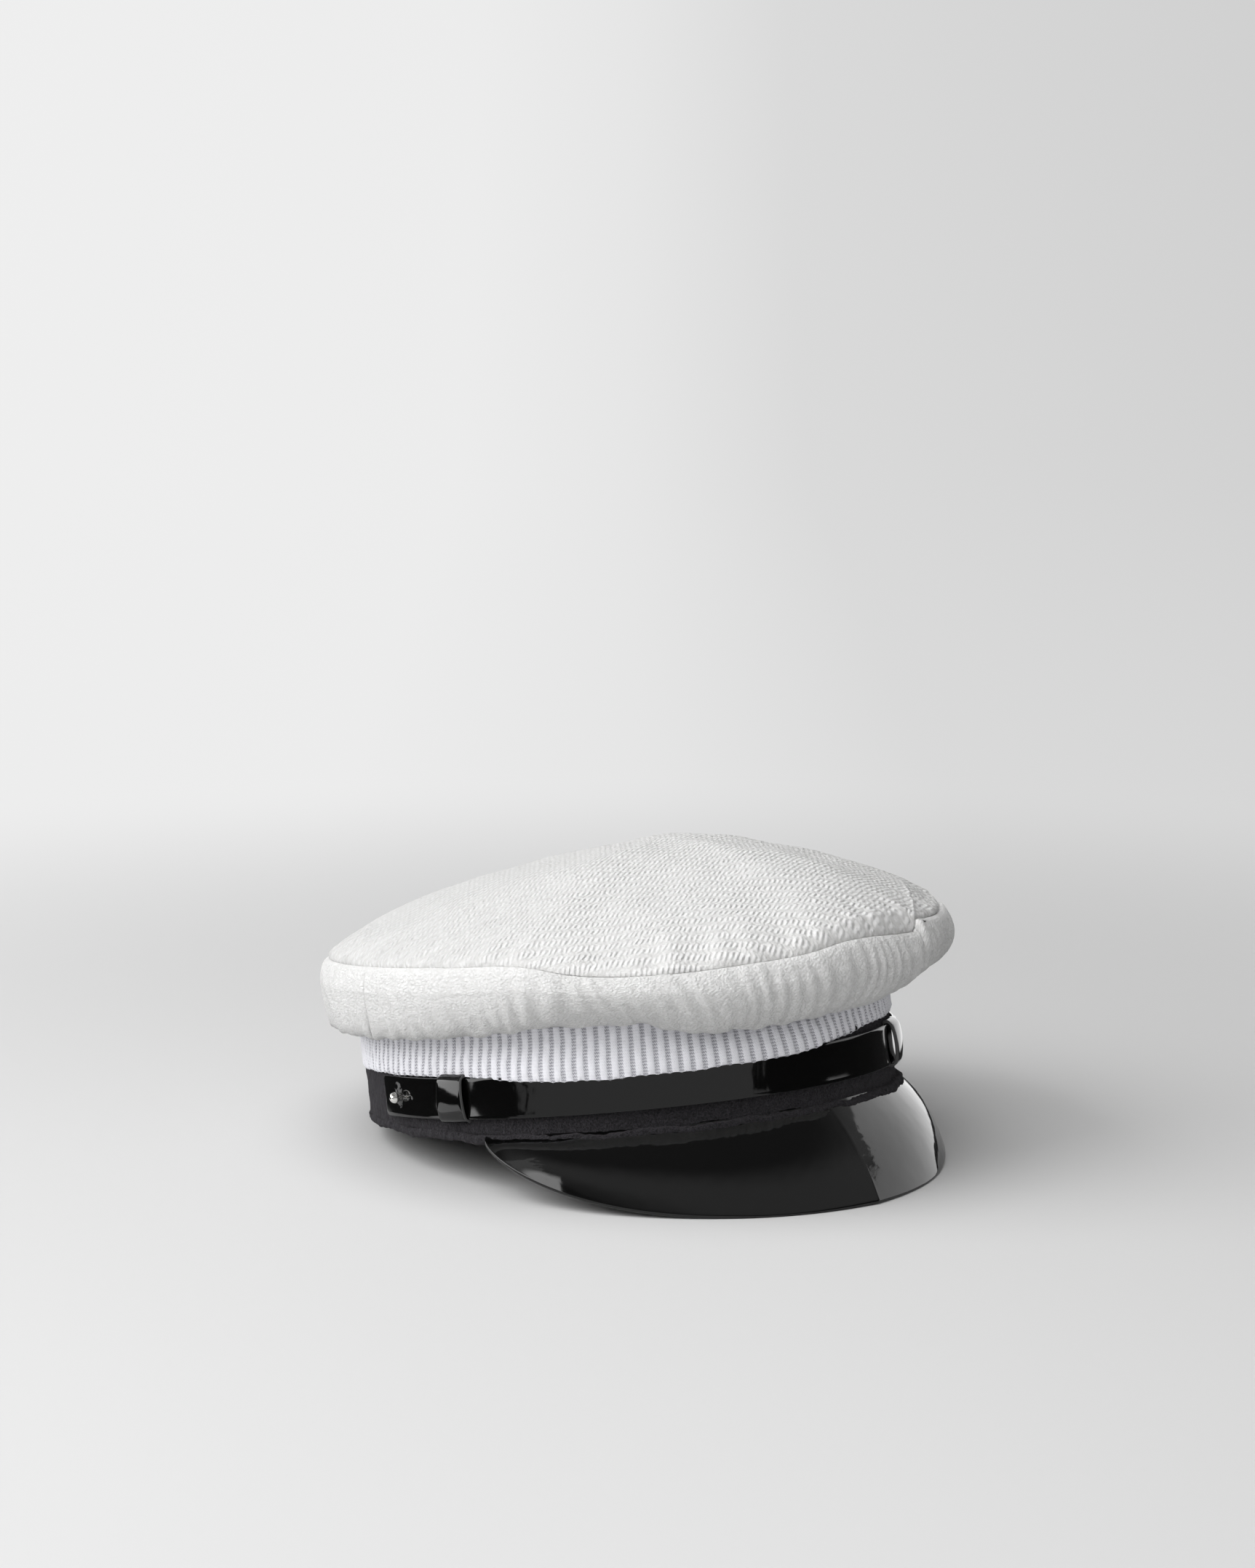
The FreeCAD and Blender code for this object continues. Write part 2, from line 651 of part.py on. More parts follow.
def build_keeper(label, alias):
    """A loop round both straps: a ring with round corners, revolved about the centre of the band's side arc."""
    heading = dim(alias)
    body = new_body(label)
    sketch = new_sketch(body, label + "_section", role="XZ_Plane")
    straps = "2 * Dims.strap_thick + Dims.strap_hair"
    left = "Dims.side_radius + Dims.strap_standoff - Dims.keeper_play"
    bottom = "Dims.strap_bottom - Dims.keeper_play"
    across = f"{straps} + Dims.keeper_play + Dims.keeper_room"
    tall = "Dims.strap_height + 2 * Dims.keeper_play"
    front = "Dims.keeper_corner - Dims.keeper_wall"
    back = "Dims.keeper_back_corner - Dims.keeper_back"
    rounded_box(sketch, "hole", left, bottom, across, tall, front, back)
    left += " - Dims.keeper_back"
    bottom += " - Dims.keeper_wall"
    across += " + Dims.keeper_back + Dims.keeper_wall"
    tall += " + 2 * Dims.keeper_wall"
    rounded_box(sketch, "outside", left, bottom, across, tall, "Dims.keeper_corner", "Dims.keeper_back_corner")
    turn = body.newObject("PartDesign::Revolution", label + "_turn")
    turn.Profile = sketch
    turn.ReferenceAxis = (sketch, ["V_Axis"])
    turn.setExpression("Angle", "Dims.keeper_angle")
    turn.Midplane = True
    body.Tip = turn
    body.Placement = FreeCAD.Placement(oval_centre(heading), FreeCAD.Rotation(UP, heading - 90))
    keep(body, label)


def rounded_box(sketch, tag, left, bottom, across, tall, front, back):
    """A rectangle whose corners have one radius in front (+x) and another behind, with all sizes as expressions."""
    x0, y0 = evaluate(left), evaluate(bottom)
    x1, y1 = x0 + evaluate(across), y0 + evaluate(tall)
    f, b = evaluate(front), evaluate(back)
    corners = ((x1 - f, y1 - f, f), (x0 + b, y1 - b, b), (x0 + b, y0 + b, b), (x1 - f, y0 + f, f))
    quarter = math.pi / 2
    arcs = []
    for index, (x, y, r) in enumerate(corners):
        circle = Part.Circle(V(x, y, 0), UP, r)
        arcs.append(sketch.addGeometry(Part.ArcOfCircle(circle, index * quarter, (index + 1) * quarter)))
    ends = (
        (V(x1 - f, y1, 0), V(x0 + b, y1, 0)),
        (V(x0, y1 - b, 0), V(x0, y0 + b, 0)),
        (V(x0 + b, y0, 0), V(x1 - f, y0, 0)),
        (V(x1, y0 + f, 0), V(x1, y1 - f, 0)),
    )
    lines = [sketch.addGeometry(Part.LineSegment(start, stop)) for start, stop in ends]
    for index in range(4):
        sketch.addConstraint(Sketcher.Constraint("Tangent", arcs[index], 2, lines[index], 1))
        sketch.addConstraint(Sketcher.Constraint("Tangent", lines[index], 2, arcs[(index + 1) % 4], 1))
    sketch.addConstraint(Sketcher.Constraint("Horizontal", lines[0]))
    sketch.addConstraint(Sketcher.Constraint("Vertical", lines[1]))
    sketch.addConstraint(Sketcher.Constraint("Horizontal", lines[2]))
    sketch.addConstraint(Sketcher.Constraint("Equal", arcs[0], arcs[3]))
    sketch.addConstraint(Sketcher.Constraint("Equal", arcs[1], arcs[2]))
    bound(sketch, "Radius", (arcs[0],), f, tag + "_front", front)
    bound(sketch, "Radius", (arcs[1],), b, tag + "_back", back)
    bound(sketch, "DistanceX", (-1, 1, lines[1], 1), x0, tag + "_left", left)
    bound(sketch, "DistanceY", (-1, 1, lines[2], 1), y0, tag + "_bottom", bottom)
    bound(sketch, "DistanceX", (lines[1], 1, lines[3], 1), x1 - x0, tag + "_across", across)
    bound(sketch, "DistanceY", (lines[2], 1, lines[0], 2), y1 - y0, tag + "_tall", tall)


def build_stud(label, heading):
    """A ball stud, turned about the outward normal: back end in the washer, foot on the felt, neck and ball."""
    body = new_body(label)
    sketch = new_sketch(body, label + "_section", role="XZ_Plane")
    neck, foot, ball = dim("neck_radius"), dim("stud_foot"), dim("ball_radius")
    inside = -dim("felt_thick") - dim("stiffener_thick") - dim("washer_thick")
    foot_low, foot_high = dim("foot_gap"), dim("foot_gap") + dim("foot_thick")
    rise = math.sqrt(ball**2 - neck**2)
    centre = dim("ball_height")
    points = [V(0, inside, 0), V(neck, inside, 0), V(neck, foot_low, 0), V(foot, foot_low, 0), V(foot, foot_high, 0)]
    points += [V(neck, foot_high, 0), V(neck, centre - rise, 0)]
    lines = [sketch.addGeometry(Part.LineSegment(a, b)) for a, b in zip(points, points[1:])]
    circle = Part.Circle(V(0, centre, 0), UP, ball)
    arc = sketch.addGeometry(Part.ArcOfCircle(circle, math.atan2(-rise, neck), math.pi / 2))
    axis = sketch.addGeometry(Part.LineSegment(V(0, centre + ball, 0), V(0, inside, 0)))
    chain = [*lines, arc, axis]
    for first, second in zip(chain, chain[1:] + chain[:1]):
        sketch.addConstraint(Sketcher.Constraint("Coincident", first, 2, second, 1))
    for index, item in enumerate(lines):
        sketch.addConstraint(Sketcher.Constraint("Horizontal" if index % 2 == 0 else "Vertical", item))
    sketch.addConstraint(Sketcher.Constraint("PointOnObject", axis, 1, -2))
    sketch.addConstraint(Sketcher.Constraint("PointOnObject", axis, 2, -2))
    sketch.addConstraint(Sketcher.Constraint("PointOnObject", arc, 3, -2))
    bound(sketch, "DistanceX", (-1, 1, lines[1], 1), neck, "neck", "Dims.neck_radius")
    bound(sketch, "DistanceX", (-1, 1, lines[3], 1), foot, "foot", "Dims.stud_foot")
    bound(sketch, "Radius", (arc,), ball, "ball", "Dims.ball_radius")
    bound(sketch, "DistanceY", (-1, 1, arc, 3), centre, "ball_height", "Dims.ball_height")
    bound(sketch, "DistanceY", (lines[0], 1, -1, 1), -inside, "back",
          "Dims.felt_thick + Dims.stiffener_thick + Dims.washer_thick")
    bound(sketch, "DistanceY", (-1, 1, lines[2], 2), foot_low, "foot_gap", "Dims.foot_gap")
    bound(sketch, "DistanceY", (lines[3], 1, lines[3], 2), foot_high - foot_low, "foot_thick", "Dims.foot_thick")
    bound(sketch, "DistanceX", (-1, 1, lines[5], 1), neck, "neck_above", "Dims.neck_radius")
    turn = body.newObject("PartDesign::Revolution", label + "_turn")
    turn.Profile = sketch
    turn.ReferenceAxis = (sketch, ["V_Axis"])
    turn.Angle = 360
    body.Tip = turn
    set_on_band(body, heading)
    keep(body, label)


def set_on_band(item, heading):
    """Stands a turned piece on the felt, with its own Z along the outward normal at this heading."""
    spot = place(heading, 0, STRAP_MIDDLE)
    item.Placement = FreeCAD.Placement(spot, FreeCAD.Rotation(UP, outward(heading)))


def build_washers():
    """The two discs inside the band that the studs are screwed into, as one group."""
    discs = []
    for heading in (-dim("stud_heading"), dim("stud_heading")):
        depth = -dim("felt_thick") - dim("stiffener_thick") - dim("washer_thick")
        disc = Part.makeCylinder(dim("washer_radius"), dim("washer_thick") - dim("post_play"), V(0, 0, depth))
        disc = disc.cut(Part.makeCylinder(dim("neck_radius"), -depth, V(0, 0, depth)))
        set_on_band(disc, heading)
        discs.append(disc)
    washers = doc.addObject("Part::Feature", "stud_washers")
    washers.Shape = Part.makeCompound(discs)
    keep(washers, "stud_washers")


# ---------------------------------------------------------------- seat


def seat_cap():
    """Tips the cap back until the rim and the band's rear edge share a floor, and centres it over the origin."""
    forward, height = rim_centre()
    rear = dim("band_length") / 2
    reach = math.hypot(rear + forward, height)
    pitch = math.asin(dim("rim_radius") / reach) - math.atan2(height, rear + forward)
    tip = FreeCAD.Rotation(V(1, 0, 0), -math.degrees(pitch))
    box = FreeCAD.BoundBox()
    for item in NODES:
        shape = item.Shape.copy()
        shape.Placement = FreeCAD.Placement(V(), tip).multiply(shape.Placement)
        box.add(shape.optimalBoundingBox(False))
    shift = V(-(box.XMin + box.XMax) / 2, -(box.YMin + box.YMax) / 2, -box.ZMin)
    seat = FreeCAD.Placement(shift, tip)
    for item in NODES:
        item.Placement = seat.multiply(item.Placement)
    return seat


def check_and_write():
    doc.recompute()
    for item in doc.Objects:
        if "Invalid" in item.State or "Error" in item.State:
            raise RuntimeError(f"{item.Label}: {item.State}")
    for item in NODES:
        if item.Shape.isNull() or not item.Shape.isValid():
            raise RuntimeError(f"{item.Label}: no valid shape")
    os.makedirs("parts", exist_ok=True)
    for item in NODES:
        item.Shape.exportStep(f"parts/{item.Label}.step")


build_band()
build_crown()
build_visor()
build_straps()
build_keeper("keeper_right", "right_keeper")
build_keeper("keeper_left", "left_keeper")
build_stud("stud_right", -dim("stud_heading"))
build_stud("stud_left", dim("stud_heading"))
build_washers()
doc.recompute()
SEAT = seat_cap()
check_and_write()
print("seat", SEAT)
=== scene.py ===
"""A soft white peaked cap with a rib-knit and felt band, a patent visor and a chin strap, on a pale floor."""

import json
import math

import bpy
import numpy as np
from mathutils import Matrix, Vector


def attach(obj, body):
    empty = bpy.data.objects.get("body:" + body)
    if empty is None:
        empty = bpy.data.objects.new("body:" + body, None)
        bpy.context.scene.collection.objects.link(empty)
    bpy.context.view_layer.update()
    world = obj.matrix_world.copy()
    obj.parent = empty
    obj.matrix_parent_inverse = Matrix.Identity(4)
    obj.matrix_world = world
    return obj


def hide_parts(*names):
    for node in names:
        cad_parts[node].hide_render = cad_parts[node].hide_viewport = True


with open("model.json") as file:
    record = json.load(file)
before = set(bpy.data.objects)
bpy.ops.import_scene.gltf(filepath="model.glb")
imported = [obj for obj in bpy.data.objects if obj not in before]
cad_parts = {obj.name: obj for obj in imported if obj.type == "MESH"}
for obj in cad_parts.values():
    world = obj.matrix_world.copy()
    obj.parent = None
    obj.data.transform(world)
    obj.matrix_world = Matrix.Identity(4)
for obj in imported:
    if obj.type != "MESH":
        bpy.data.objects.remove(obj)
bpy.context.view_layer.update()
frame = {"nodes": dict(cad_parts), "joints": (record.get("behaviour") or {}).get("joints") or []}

# ---- the cap's own frame
# All shapes below are in millimetres in the cap's own frame: the band's lower edge lies in z = 0, the wearer
# looks along -y and x points to the wearer's left. A heading is in degrees from straight ahead to the left.

MM = 0.001
SLIDE = next(joint for joint in frame["joints"] if joint["name"] == "right_keeper_slide")

BAND_LENGTH = 206.0
BAND_WIDTH = 184.0
END_RADIUS = 79.0
END_CENTRE = BAND_LENGTH / 2 - END_RADIUS
SIDE_RADIUS = (END_CENTRE**2 + (BAND_WIDTH / 2) ** 2 - END_RADIUS**2) / (BAND_WIDTH - 2 * END_RADIUS)
SIDE_CENTRE = SIDE_RADIUS - BAND_WIDTH / 2
JOIN_HEADING = math.degrees(math.atan2(SIDE_CENTRE, END_CENTRE))

STRAP_BOTTOM = 6.0
STRAP_HEIGHT = 14.4
STRAP_MIDDLE = STRAP_BOTTOM + STRAP_HEIGHT / 2
STUD_HEADING = 98.65
RIB_PITCH = 4.0


def cap_matrix():
    """Takes the cap's own frame, in metres, to the model's. The right keeper's joint turns about z."""
    up = Vector(SLIDE["axis"]).normalized()
    across = Vector((1, 0, 0))
    back = up.cross(across)
    origin = Vector(SLIDE["pos_m"]) - up * STRAP_MIDDLE * MM - across * SIDE_CENTRE * MM
    turn = Matrix((across, back, up)).transposed().to_4x4()
    return Matrix.Translation(origin) @ turn


CAP = np.array(cap_matrix())


def to_model(points):
    """Points of the cap's own frame in millimetres, as points of the model in metres."""
    flat = np.asarray(points, float).reshape(-1, 3) * MM
    return flat @ CAP[:3, :3].T + CAP[:3, 3]


# ---- shape formulas


def smooth(value, low, high):
    """0 below low, 1 above high, and a smooth step between them."""
    t = np.clip((value - low) / (high - low), 0, 1)
    return t * t * (3 - 2 * t)


def bump(value, middle, width):
    """A smooth hump of height 1."""
    return np.exp(-(((value - middle) / width) ** 2))


def turned(heading):
    """A heading brought into -180 to 180 degrees."""
    return (heading + 180) % 360 - 180


def through(heading, knots):
    """A smooth closed curve through (heading, value) pairs, read at these headings."""
    x, y = np.array(knots, float).T
    x, y = np.concatenate([x - 360, x, x + 360]), np.tile(y, 3)
    slope = np.gradient(y, x)
    h = turned(heading)
    i = np.clip(np.searchsorted(x, h) - 1, 0, len(x) - 2)
    step = x[i + 1] - x[i]
    t = (h - x[i]) / step
    ends = y[i] * (1 + 2 * t) * (1 - t) ** 2 + y[i + 1] * (3 - 2 * t) * t**2
    return ends + step * (slope[i] * t * (1 - t) ** 2 - slope[i + 1] * (1 - t) * t**2)


def around(heading, middle):
    """How far a heading is past another one, the short way round."""
    return turned(heading - middle)


def outward(heading):
    """Plan directions, as (..., 2)."""
    return np.stack([np.sin(np.radians(heading)), -np.cos(np.radians(heading))], -1)


def oval(heading, offset=0.0):
    """Plan points on the band's oval grown by offset, where its outward normal has these headings."""
    h = turned(heading)
    side = (np.abs(h) > JOIN_HEADING) & (np.abs(h) < 180 - JOIN_HEADING)
    centre_x = np.where(side, -np.sign(h) * SIDE_CENTRE, 0.0)
    centre_y = np.where(side, 0.0, -np.where(np.abs(h) < 90, END_CENTRE, -END_CENTRE))
    radius = np.where(side, SIDE_RADIUS, END_RADIUS) + offset
    return np.stack([centre_x, centre_y], -1) + outward(h) * np.expand_dims(radius, -1)


def band_point(heading, offset, height):
    """Points beside the band, as (..., 3)."""
    heading, offset, height = np.broadcast_arrays(heading, offset, height)
    return np.concatenate([oval(heading, offset), height[..., None].astype(float)], -1)


def spokes(heading, rise=0.0):
    """Unit vectors at a heading: outwards, rising by an angle, and level, a quarter turn on to the left."""
    h, e = math.radians(heading), math.radians(rise)
    out = (math.sin(h) * math.cos(e), -math.cos(h) * math.cos(e), math.sin(e))
    return np.array(out), np.array((math.cos(h), math.sin(h), 0.0))


def ripples(u, v, seed, waves, count=7):
    """Smooth noise of about unit size: a few seeded sine waves with lengths between the two given ones."""
    rng = np.random.default_rng(seed)
    total = np.zeros(np.broadcast(u, v).shape)
    for _ in range(count):
        length = rng.uniform(*waves)
        angle = rng.uniform(0, math.tau)
        phase = rng.uniform(0, math.tau)
        total += np.sin((u * math.cos(angle) + v * math.sin(angle)) * math.tau / length + phase)
    return total / math.sqrt(count)


def arc_headings(count):
    """Headings that part the band's oval into equal lengths, and the length from straight behind to each."""
    fine = np.linspace(-180, 180, 7201)
    points = oval(np.clip(fine, -179.999, 179.999))
    steps = np.hypot(*np.diff(points, axis=0).T)
    length = np.concatenate([[0], np.cumsum(steps)])
    places = np.linspace(0, length[-1], count + 1)[:-1]
    return np.interp(places, length, fine), places, length[-1]


# ---- mesh helpers


def add_object(name, data):
    """A new object in the scene."""
    item = bpy.data.objects.new(name, data)
    bpy.context.scene.collection.objects.link(item)
    return item


def add_mesh(name, points, faces):
    """A new mesh object, from points of the model in metres."""
    mesh = bpy.data.meshes.new(name)
    mesh.from_pydata(points.reshape(-1, 3).tolist(), [], faces)
    return add_object(name, mesh)


def finish_mesh(name, skin, material, node, body="cap", uv=None):
    """Makes a piece from (points in the cap's frame, faces), hangs it on its body and hides the node it
    stands for.
    """
    verts, faces = skin
    points = to_model(verts)
    points[:, 2] = np.maximum(points[:, 2], 0)  # nothing reaches below the floor
    piece = add_mesh(name, points, faces)
    mesh = piece.data
    mesh.validate()
    mesh.update()
    mesh.shade_smooth()
    if uv is not None:
        layer = mesh.uv_layers.new(name="cloth")
        corners = np.zeros(len(mesh.loops), np.int32)
        mesh.loops.foreach_get("vertex_index", corners)
        layer.data.foreach_set("uv", (uv[corners] * MM).ravel())
    mesh.materials.append(material)
    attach(piece, body)
    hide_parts(node)
    return piece


def grid_faces(rows, cols, wrap, start=0, flip=False, closed=False):
    """Quads of a grid of points, which may close into a ring along its rows (wrap) or columns (closed)."""
    ids = start + np.arange(rows * cols).reshape(rows, cols)
    if wrap:
        ids = np.hstack([ids, ids[:, :1]])
    if closed:
        ids = np.vstack([ids, ids[:1]])
    quads = np.stack([ids[:-1, :-1], ids[:-1, 1:], ids[1:, 1:], ids[1:, :-1]], -1).reshape(-1, 4)
    return (quads[:, ::-1] if flip else quads).tolist()


def shell(outer, inner, wrap):
    """A closed wall between two grids of points of the same shape (rows, columns, 3)."""
    rows, cols = outer.shape[:2]
    step = rows * cols
    ids = np.arange(step).reshape(rows, cols)
    rims = [ids[0, ::-1], ids[-1]]
    if not wrap:
        rims = [np.concatenate([ids[0, ::-1], ids[1:, 0], ids[-1, 1:], ids[-2:0:-1, -1]])]
    faces = grid_faces(rows, cols, wrap) + grid_faces(rows, cols, wrap, step, flip=True)
    for rim in rims:
        after = np.roll(rim, -1)
        faces += np.stack([rim, after, after + step, rim + step], -1).tolist()
    return np.concatenate([outer.reshape(-1, 3), inner.reshape(-1, 3)]), faces


def tube(section, wrap=True):
    """A closed skin over sections: an array of (points round the section, sections, 3)."""
    rows, cols = section.shape[:2]
    faces = grid_faces(rows, cols, wrap, closed=True)
    if not wrap:
        faces += [list(range(0, rows * cols, cols)), list(range(rows * cols - 1, 0, -cols))]
    return section.reshape(-1, 3), faces


# ---- materials, which measure in metres

CROWN_WHITE = 0.94
LUMPS_PER_ROW = 3.7
STITCH_WIDTH = 0.000667
STITCH_HEIGHT = 0.00105


class Output:
    """One output of a node, which takes part in sums. ["name"] is another output of the same node."""

    def __init__(self, nodes, socket):
        self.nodes = nodes
        self.socket = socket

    def __getitem__(self, name):
        return Output(self.nodes, self.socket.node.outputs[name])

    def __add__(self, other):
        return self.nodes.math("ADD", self, other)

    def __sub__(self, other):
        return self.nodes.math("SUBTRACT", self, other)

    def __rsub__(self, other):
        return self.nodes.math("SUBTRACT", other, self)

    def __mul__(self, other):
        return self.nodes.math("MULTIPLY", self, other)

    def __truediv__(self, other):
        return self.nodes.math("DIVIDE", self, other)


class Nodes:
    """A short way to build the nodes of a material, or of the world."""

    def __init__(self, name, world=False):
        self.material = (bpy.data.worlds if world else bpy.data.materials).new(name)
        self.material.use_nodes = True
        self.tree = self.material.node_tree
        self.shader = self.tree.nodes["Background" if world else "Principled BSDF"]

    def add(self, kind, inputs=None, **settings):
        """A new node, as its first output."""
        node = self.tree.nodes.new(kind)
        for key, value in settings.items():
            setattr(node, key, value)
        for key, value in (inputs or {}).items():
            self.set(node, key, value)
        return Output(self, node.outputs[0])

    def set(self, node, key, value):
        socket = node.inputs[key]
        if isinstance(value, Output):
            self.tree.links.new(value.socket, socket)
        else:
            socket.default_value = value

    def shade(self, **values):
        for key, value in values.items():
            self.set(self.shader, key.replace("_", " "), value)

    def math(self, operation, a, b=0.0):
        return self.add("ShaderNodeMath", {0: a, 1: b}, operation=operation)

    def noise(self, vector, scale, detail=2.0, roughness=0.5):
        values = {"Vector": vector, "Scale": scale, "Detail": detail, "Roughness": roughness}
        return self.add("ShaderNodeTexNoise", values)["Fac"]

    def object_point(self):
        return self.add("ShaderNodeTexCoord")["Object"]

    def cloth_point(self):
        return self.add("ShaderNodeUVMap", uv_map="cloth")

    def split(self, vector):
        return self.add("ShaderNodeSeparateXYZ", {"Vector": vector})

    def mapped(self, vector, scale=(1, 1, 1), turn=0.0):
        rotation = (0, 0, math.radians(turn))
        return self.add("ShaderNodeMapping", {"Vector": vector, "Scale": scale, "Rotation": rotation})

    def vector(self, operation, a, b=(0, 0, 0)):
        output = "Value" if operation in ("LENGTH", "DOT_PRODUCT", "DISTANCE") else "Vector"
        return self.add("ShaderNodeVectorMath", {0: a, 1: b}, operation=operation)[output]

    def scaled(self, vector, amount):
        return self.add("ShaderNodeVectorMath", {0: vector, "Scale": amount}, operation="SCALE")

    def wobble(self, vector, scale, amount):
        """The vector moved about by colour noise."""
        noise = self.add("ShaderNodeTexNoise", {"Vector": vector, "Scale": scale, "Detail": 1.0})["Color"]
        centred = self.vector("SUBTRACT", noise, (0.5, 0.5, 0.5))
        return self.vector("ADD", vector, self.scaled(centred, amount))

    def bump(self, height, distance, strength=1.0):
        return self.add("ShaderNodeBump", {"Height": height, "Distance": distance, "Strength": strength})

    def step(self, value, low, high, to_low=0.0, to_high=1.0):
        """A smooth step from one value to another."""
        values = {"Value": value, "From Min": low, "From Max": high, "To Min": to_low, "To Max": to_high}
        return self.add("ShaderNodeMapRange", values, interpolation_type="SMOOTHSTEP")

    def window(self, value, low, high, soft):
        """1 between two values and 0 outside them, with soft ends."""
        opening = self.step(value, low - soft, low + soft)
        return opening * self.step(value, high - soft, high + soft, 1.0, 0.0)

    def segment_distance(self, point, start, stop):
        """How far a point is from a straight piece."""
        run = stop - start
        length = float(np.linalg.norm(run))
        direction = (run / length).tolist()
        away = self.vector("SUBTRACT", point, start.tolist())
        along = self.vector("DOT_PRODUCT", away, direction)
        share = self.math("MINIMUM", self.math("MAXIMUM", along, 0.0), length)
        return self.vector("DISTANCE", away, self.scaled(direction, share))

    def ramp(self, factor, stops):
        """A colour ramp from (place, colour) pairs."""
        colour = self.add("ShaderNodeValToRGB", {"Fac": factor})
        elements = colour.socket.node.color_ramp.elements
        while len(elements) < len(stops):
            elements.new(0.5)
        for element, (place, value) in zip(elements, stops):
            element.position = place
            element.color = (*value, 1.0)
        return colour


def grey(value, tint=(1.0, 1.0, 1.0)):
    return tuple(value * t for t in tint)


def crown_material(name, row, turn, depth, lean, ordered, hairy):
    """White crepe: slubs in rows and leaning lumps (ordered is the rows' share), over a hairy grain, with
    painted shade in the hollows of the weave.
    """
    n = Nodes(name)
    cloth = n.wobble(n.mapped(n.cloth_point(), turn=turn), 200.0, 0.001)
    place = n.split(cloth)
    rows = n.math("SINE", place["Y"] * (math.tau / row))
    leaning = n.mapped(cloth, (1.0, 1.5, 1.0), lean)
    values = {"Vector": leaning, "Scale": LUMPS_PER_ROW / row, "Smoothness": 0.35}
    lumps = n.add("ShaderNodeTexVoronoi", values, feature="SMOOTH_F1")["Distance"]
    grain = n.noise(n.mapped(cloth, (0.7, 3.2, 1.0), lean), 2300.0, 3.0, 0.65)
    patch = n.noise(cloth, 75.0, 2.0)
    slubs = n.math("SINE", (place["Y"] * -0.4 + place["X"]) * (math.tau / (0.42 * row)))
    rows = slubs * (rows * 0.6 + 0.6) + rows
    weave = (rows * ordered + (0.75 - lumps) * (1.0 - ordered)) * (patch * 1.1 + 0.4)
    dark, light = grey(CROWN_WHITE * 0.88, (1.0, 0.995, 0.98)), grey(0.95, (1.0, 0.998, 0.99))
    # the colour darkens where the weave and grain are low: painted shade in the cloth's hollows
    n.shade(Base_Color=n.ramp(weave * 0.7 + grain * 0.6, ((0.1, dark), (0.55, light))), Roughness=0.9)
    n.shade(Normal=n.bump(grain * hairy + weave, depth))
    n.shade(Sheen_Weight=0.15, Sheen_Roughness=0.5, Specular_IOR_Level=0.2)
    return n.material


def plain_cloth(name, colour, tint=(1.0, 1.0, 1.0), scale=1400.0):
    """A plain fine weave."""
    n = Nodes(name)
    point = n.object_point()
    threads = n.noise(point, scale, 2.0)
    mix = threads * 0.6 + n.noise(point, 60.0, 2.0) * 0.4
    n.shade(Base_Color=n.ramp(mix, ((0.3, grey(colour * 0.75, tint)), (0.7, grey(colour * 1.15, tint)))))
    n.shade(Roughness=0.95, Normal=n.bump(threads, 0.0002), Sheen_Weight=0.1, Specular_IOR_Level=0.2)
    return n.material


def rib_material():
    """Cool white knit: three columns of V stitches to a rib, and a little fluff, with painted shade in the
    valleys between ribs and stitches.
    """
    n = Nodes("rib_knit")
    cloth = n.wobble(n.cloth_point(), 500.0, 0.0003)
    place = n.split(cloth)
    from_rib = n.math("ABSOLUTE", n.math("FRACT", place["X"] / (RIB_PITCH * MM)) - 0.5)
    from_column = n.math("ABSOLUTE", n.math("FRACT", place["X"] / STITCH_WIDTH) - 0.5)
    stitch = n.math("SINE", (from_column * 0.9 + place["Y"] / STITCH_HEIGHT) * math.tau)
    valley = n.step(from_rib, 0.24, 0.36)
    relief = n.noise(cloth, 3000.0, 2.0) * 0.7 + stitch * (valley * 0.4 + 0.12)
    stops = ((0.0, (0.44, 0.44, 0.485)), (0.65, (0.80, 0.80, 0.845)), (1.0, (0.86, 0.86, 0.90)))
    # the colour darkens in the valleys between the ribs and where the stitches sink: painted shade in the
    # recesses
    n.shade(Base_Color=n.ramp(valley * -0.36 + (relief + 0.45), stops), Roughness=0.92)
    n.shade(Normal=n.bump(relief, 0.0003), Sheen_Weight=0.15, Specular_IOR_Level=0.2)
    return n.material


def felt_material():
    """Black wool felt: matted fibres with a dull sheen."""
    n = Nodes("wool_felt")
    point = n.object_point()
    fibres = n.noise(n.wobble(point, 900.0, 0.0012), 1500.0, 4.0, 0.72)
    clumps = n.noise(point, 330.0, 3.0)
    height = clumps * 1.2 + fibres * 0.9
    n.shade(Base_Color=n.ramp(fibres, ((0.42, (0.002, 0.0018, 0.002)), (0.66, (0.032, 0.030, 0.034)))))
    n.shade(Roughness=1.0, Normal=n.bump(height, 0.0012), Specular_IOR_Level=0.15)
    n.shade(Sheen_Weight=0.13, Sheen_Roughness=0.6, Sheen_Tint=(0.75, 0.72, 0.78, 1.0))
    return n.material


def patent_material(name, wave=1.0, base=0.0016):
    """Black patent leather: a thick gloss that isn't quite flat, with fine scuffs. Cut edges are matt."""
    n = Nodes(name)
    point = n.object_point()
    waves = n.noise(point, 55.0, 2.0, 0.45)
    scuffs = n.noise(n.mapped(point, scale=(1.0, 1.0, 4.0)), 900.0, 2.0)
    cut = n.add("ShaderNodeAttribute", attribute_name="cut")["Fac"]
    worn = n.math("MAXIMUM", cut, tab_wear(n, point))
    fibres = n.noise(point, 5200.0, 3.0, 0.7)
    dull = worn * (fibres * 0.9 + 0.55)
    n.shade(Base_Color=n.ramp(dull, ((0.0, grey(base)), (0.5, grey(0.028)), (1.0, grey(0.085)))))
    n.shade(Normal=n.bump(worn * 0.12 + waves, 0.0004 * wave, 0.5))
    n.shade(Roughness=worn * 0.6 + n.step(scuffs, 0.35, 0.75, 0.03, 0.09))
    return n.material


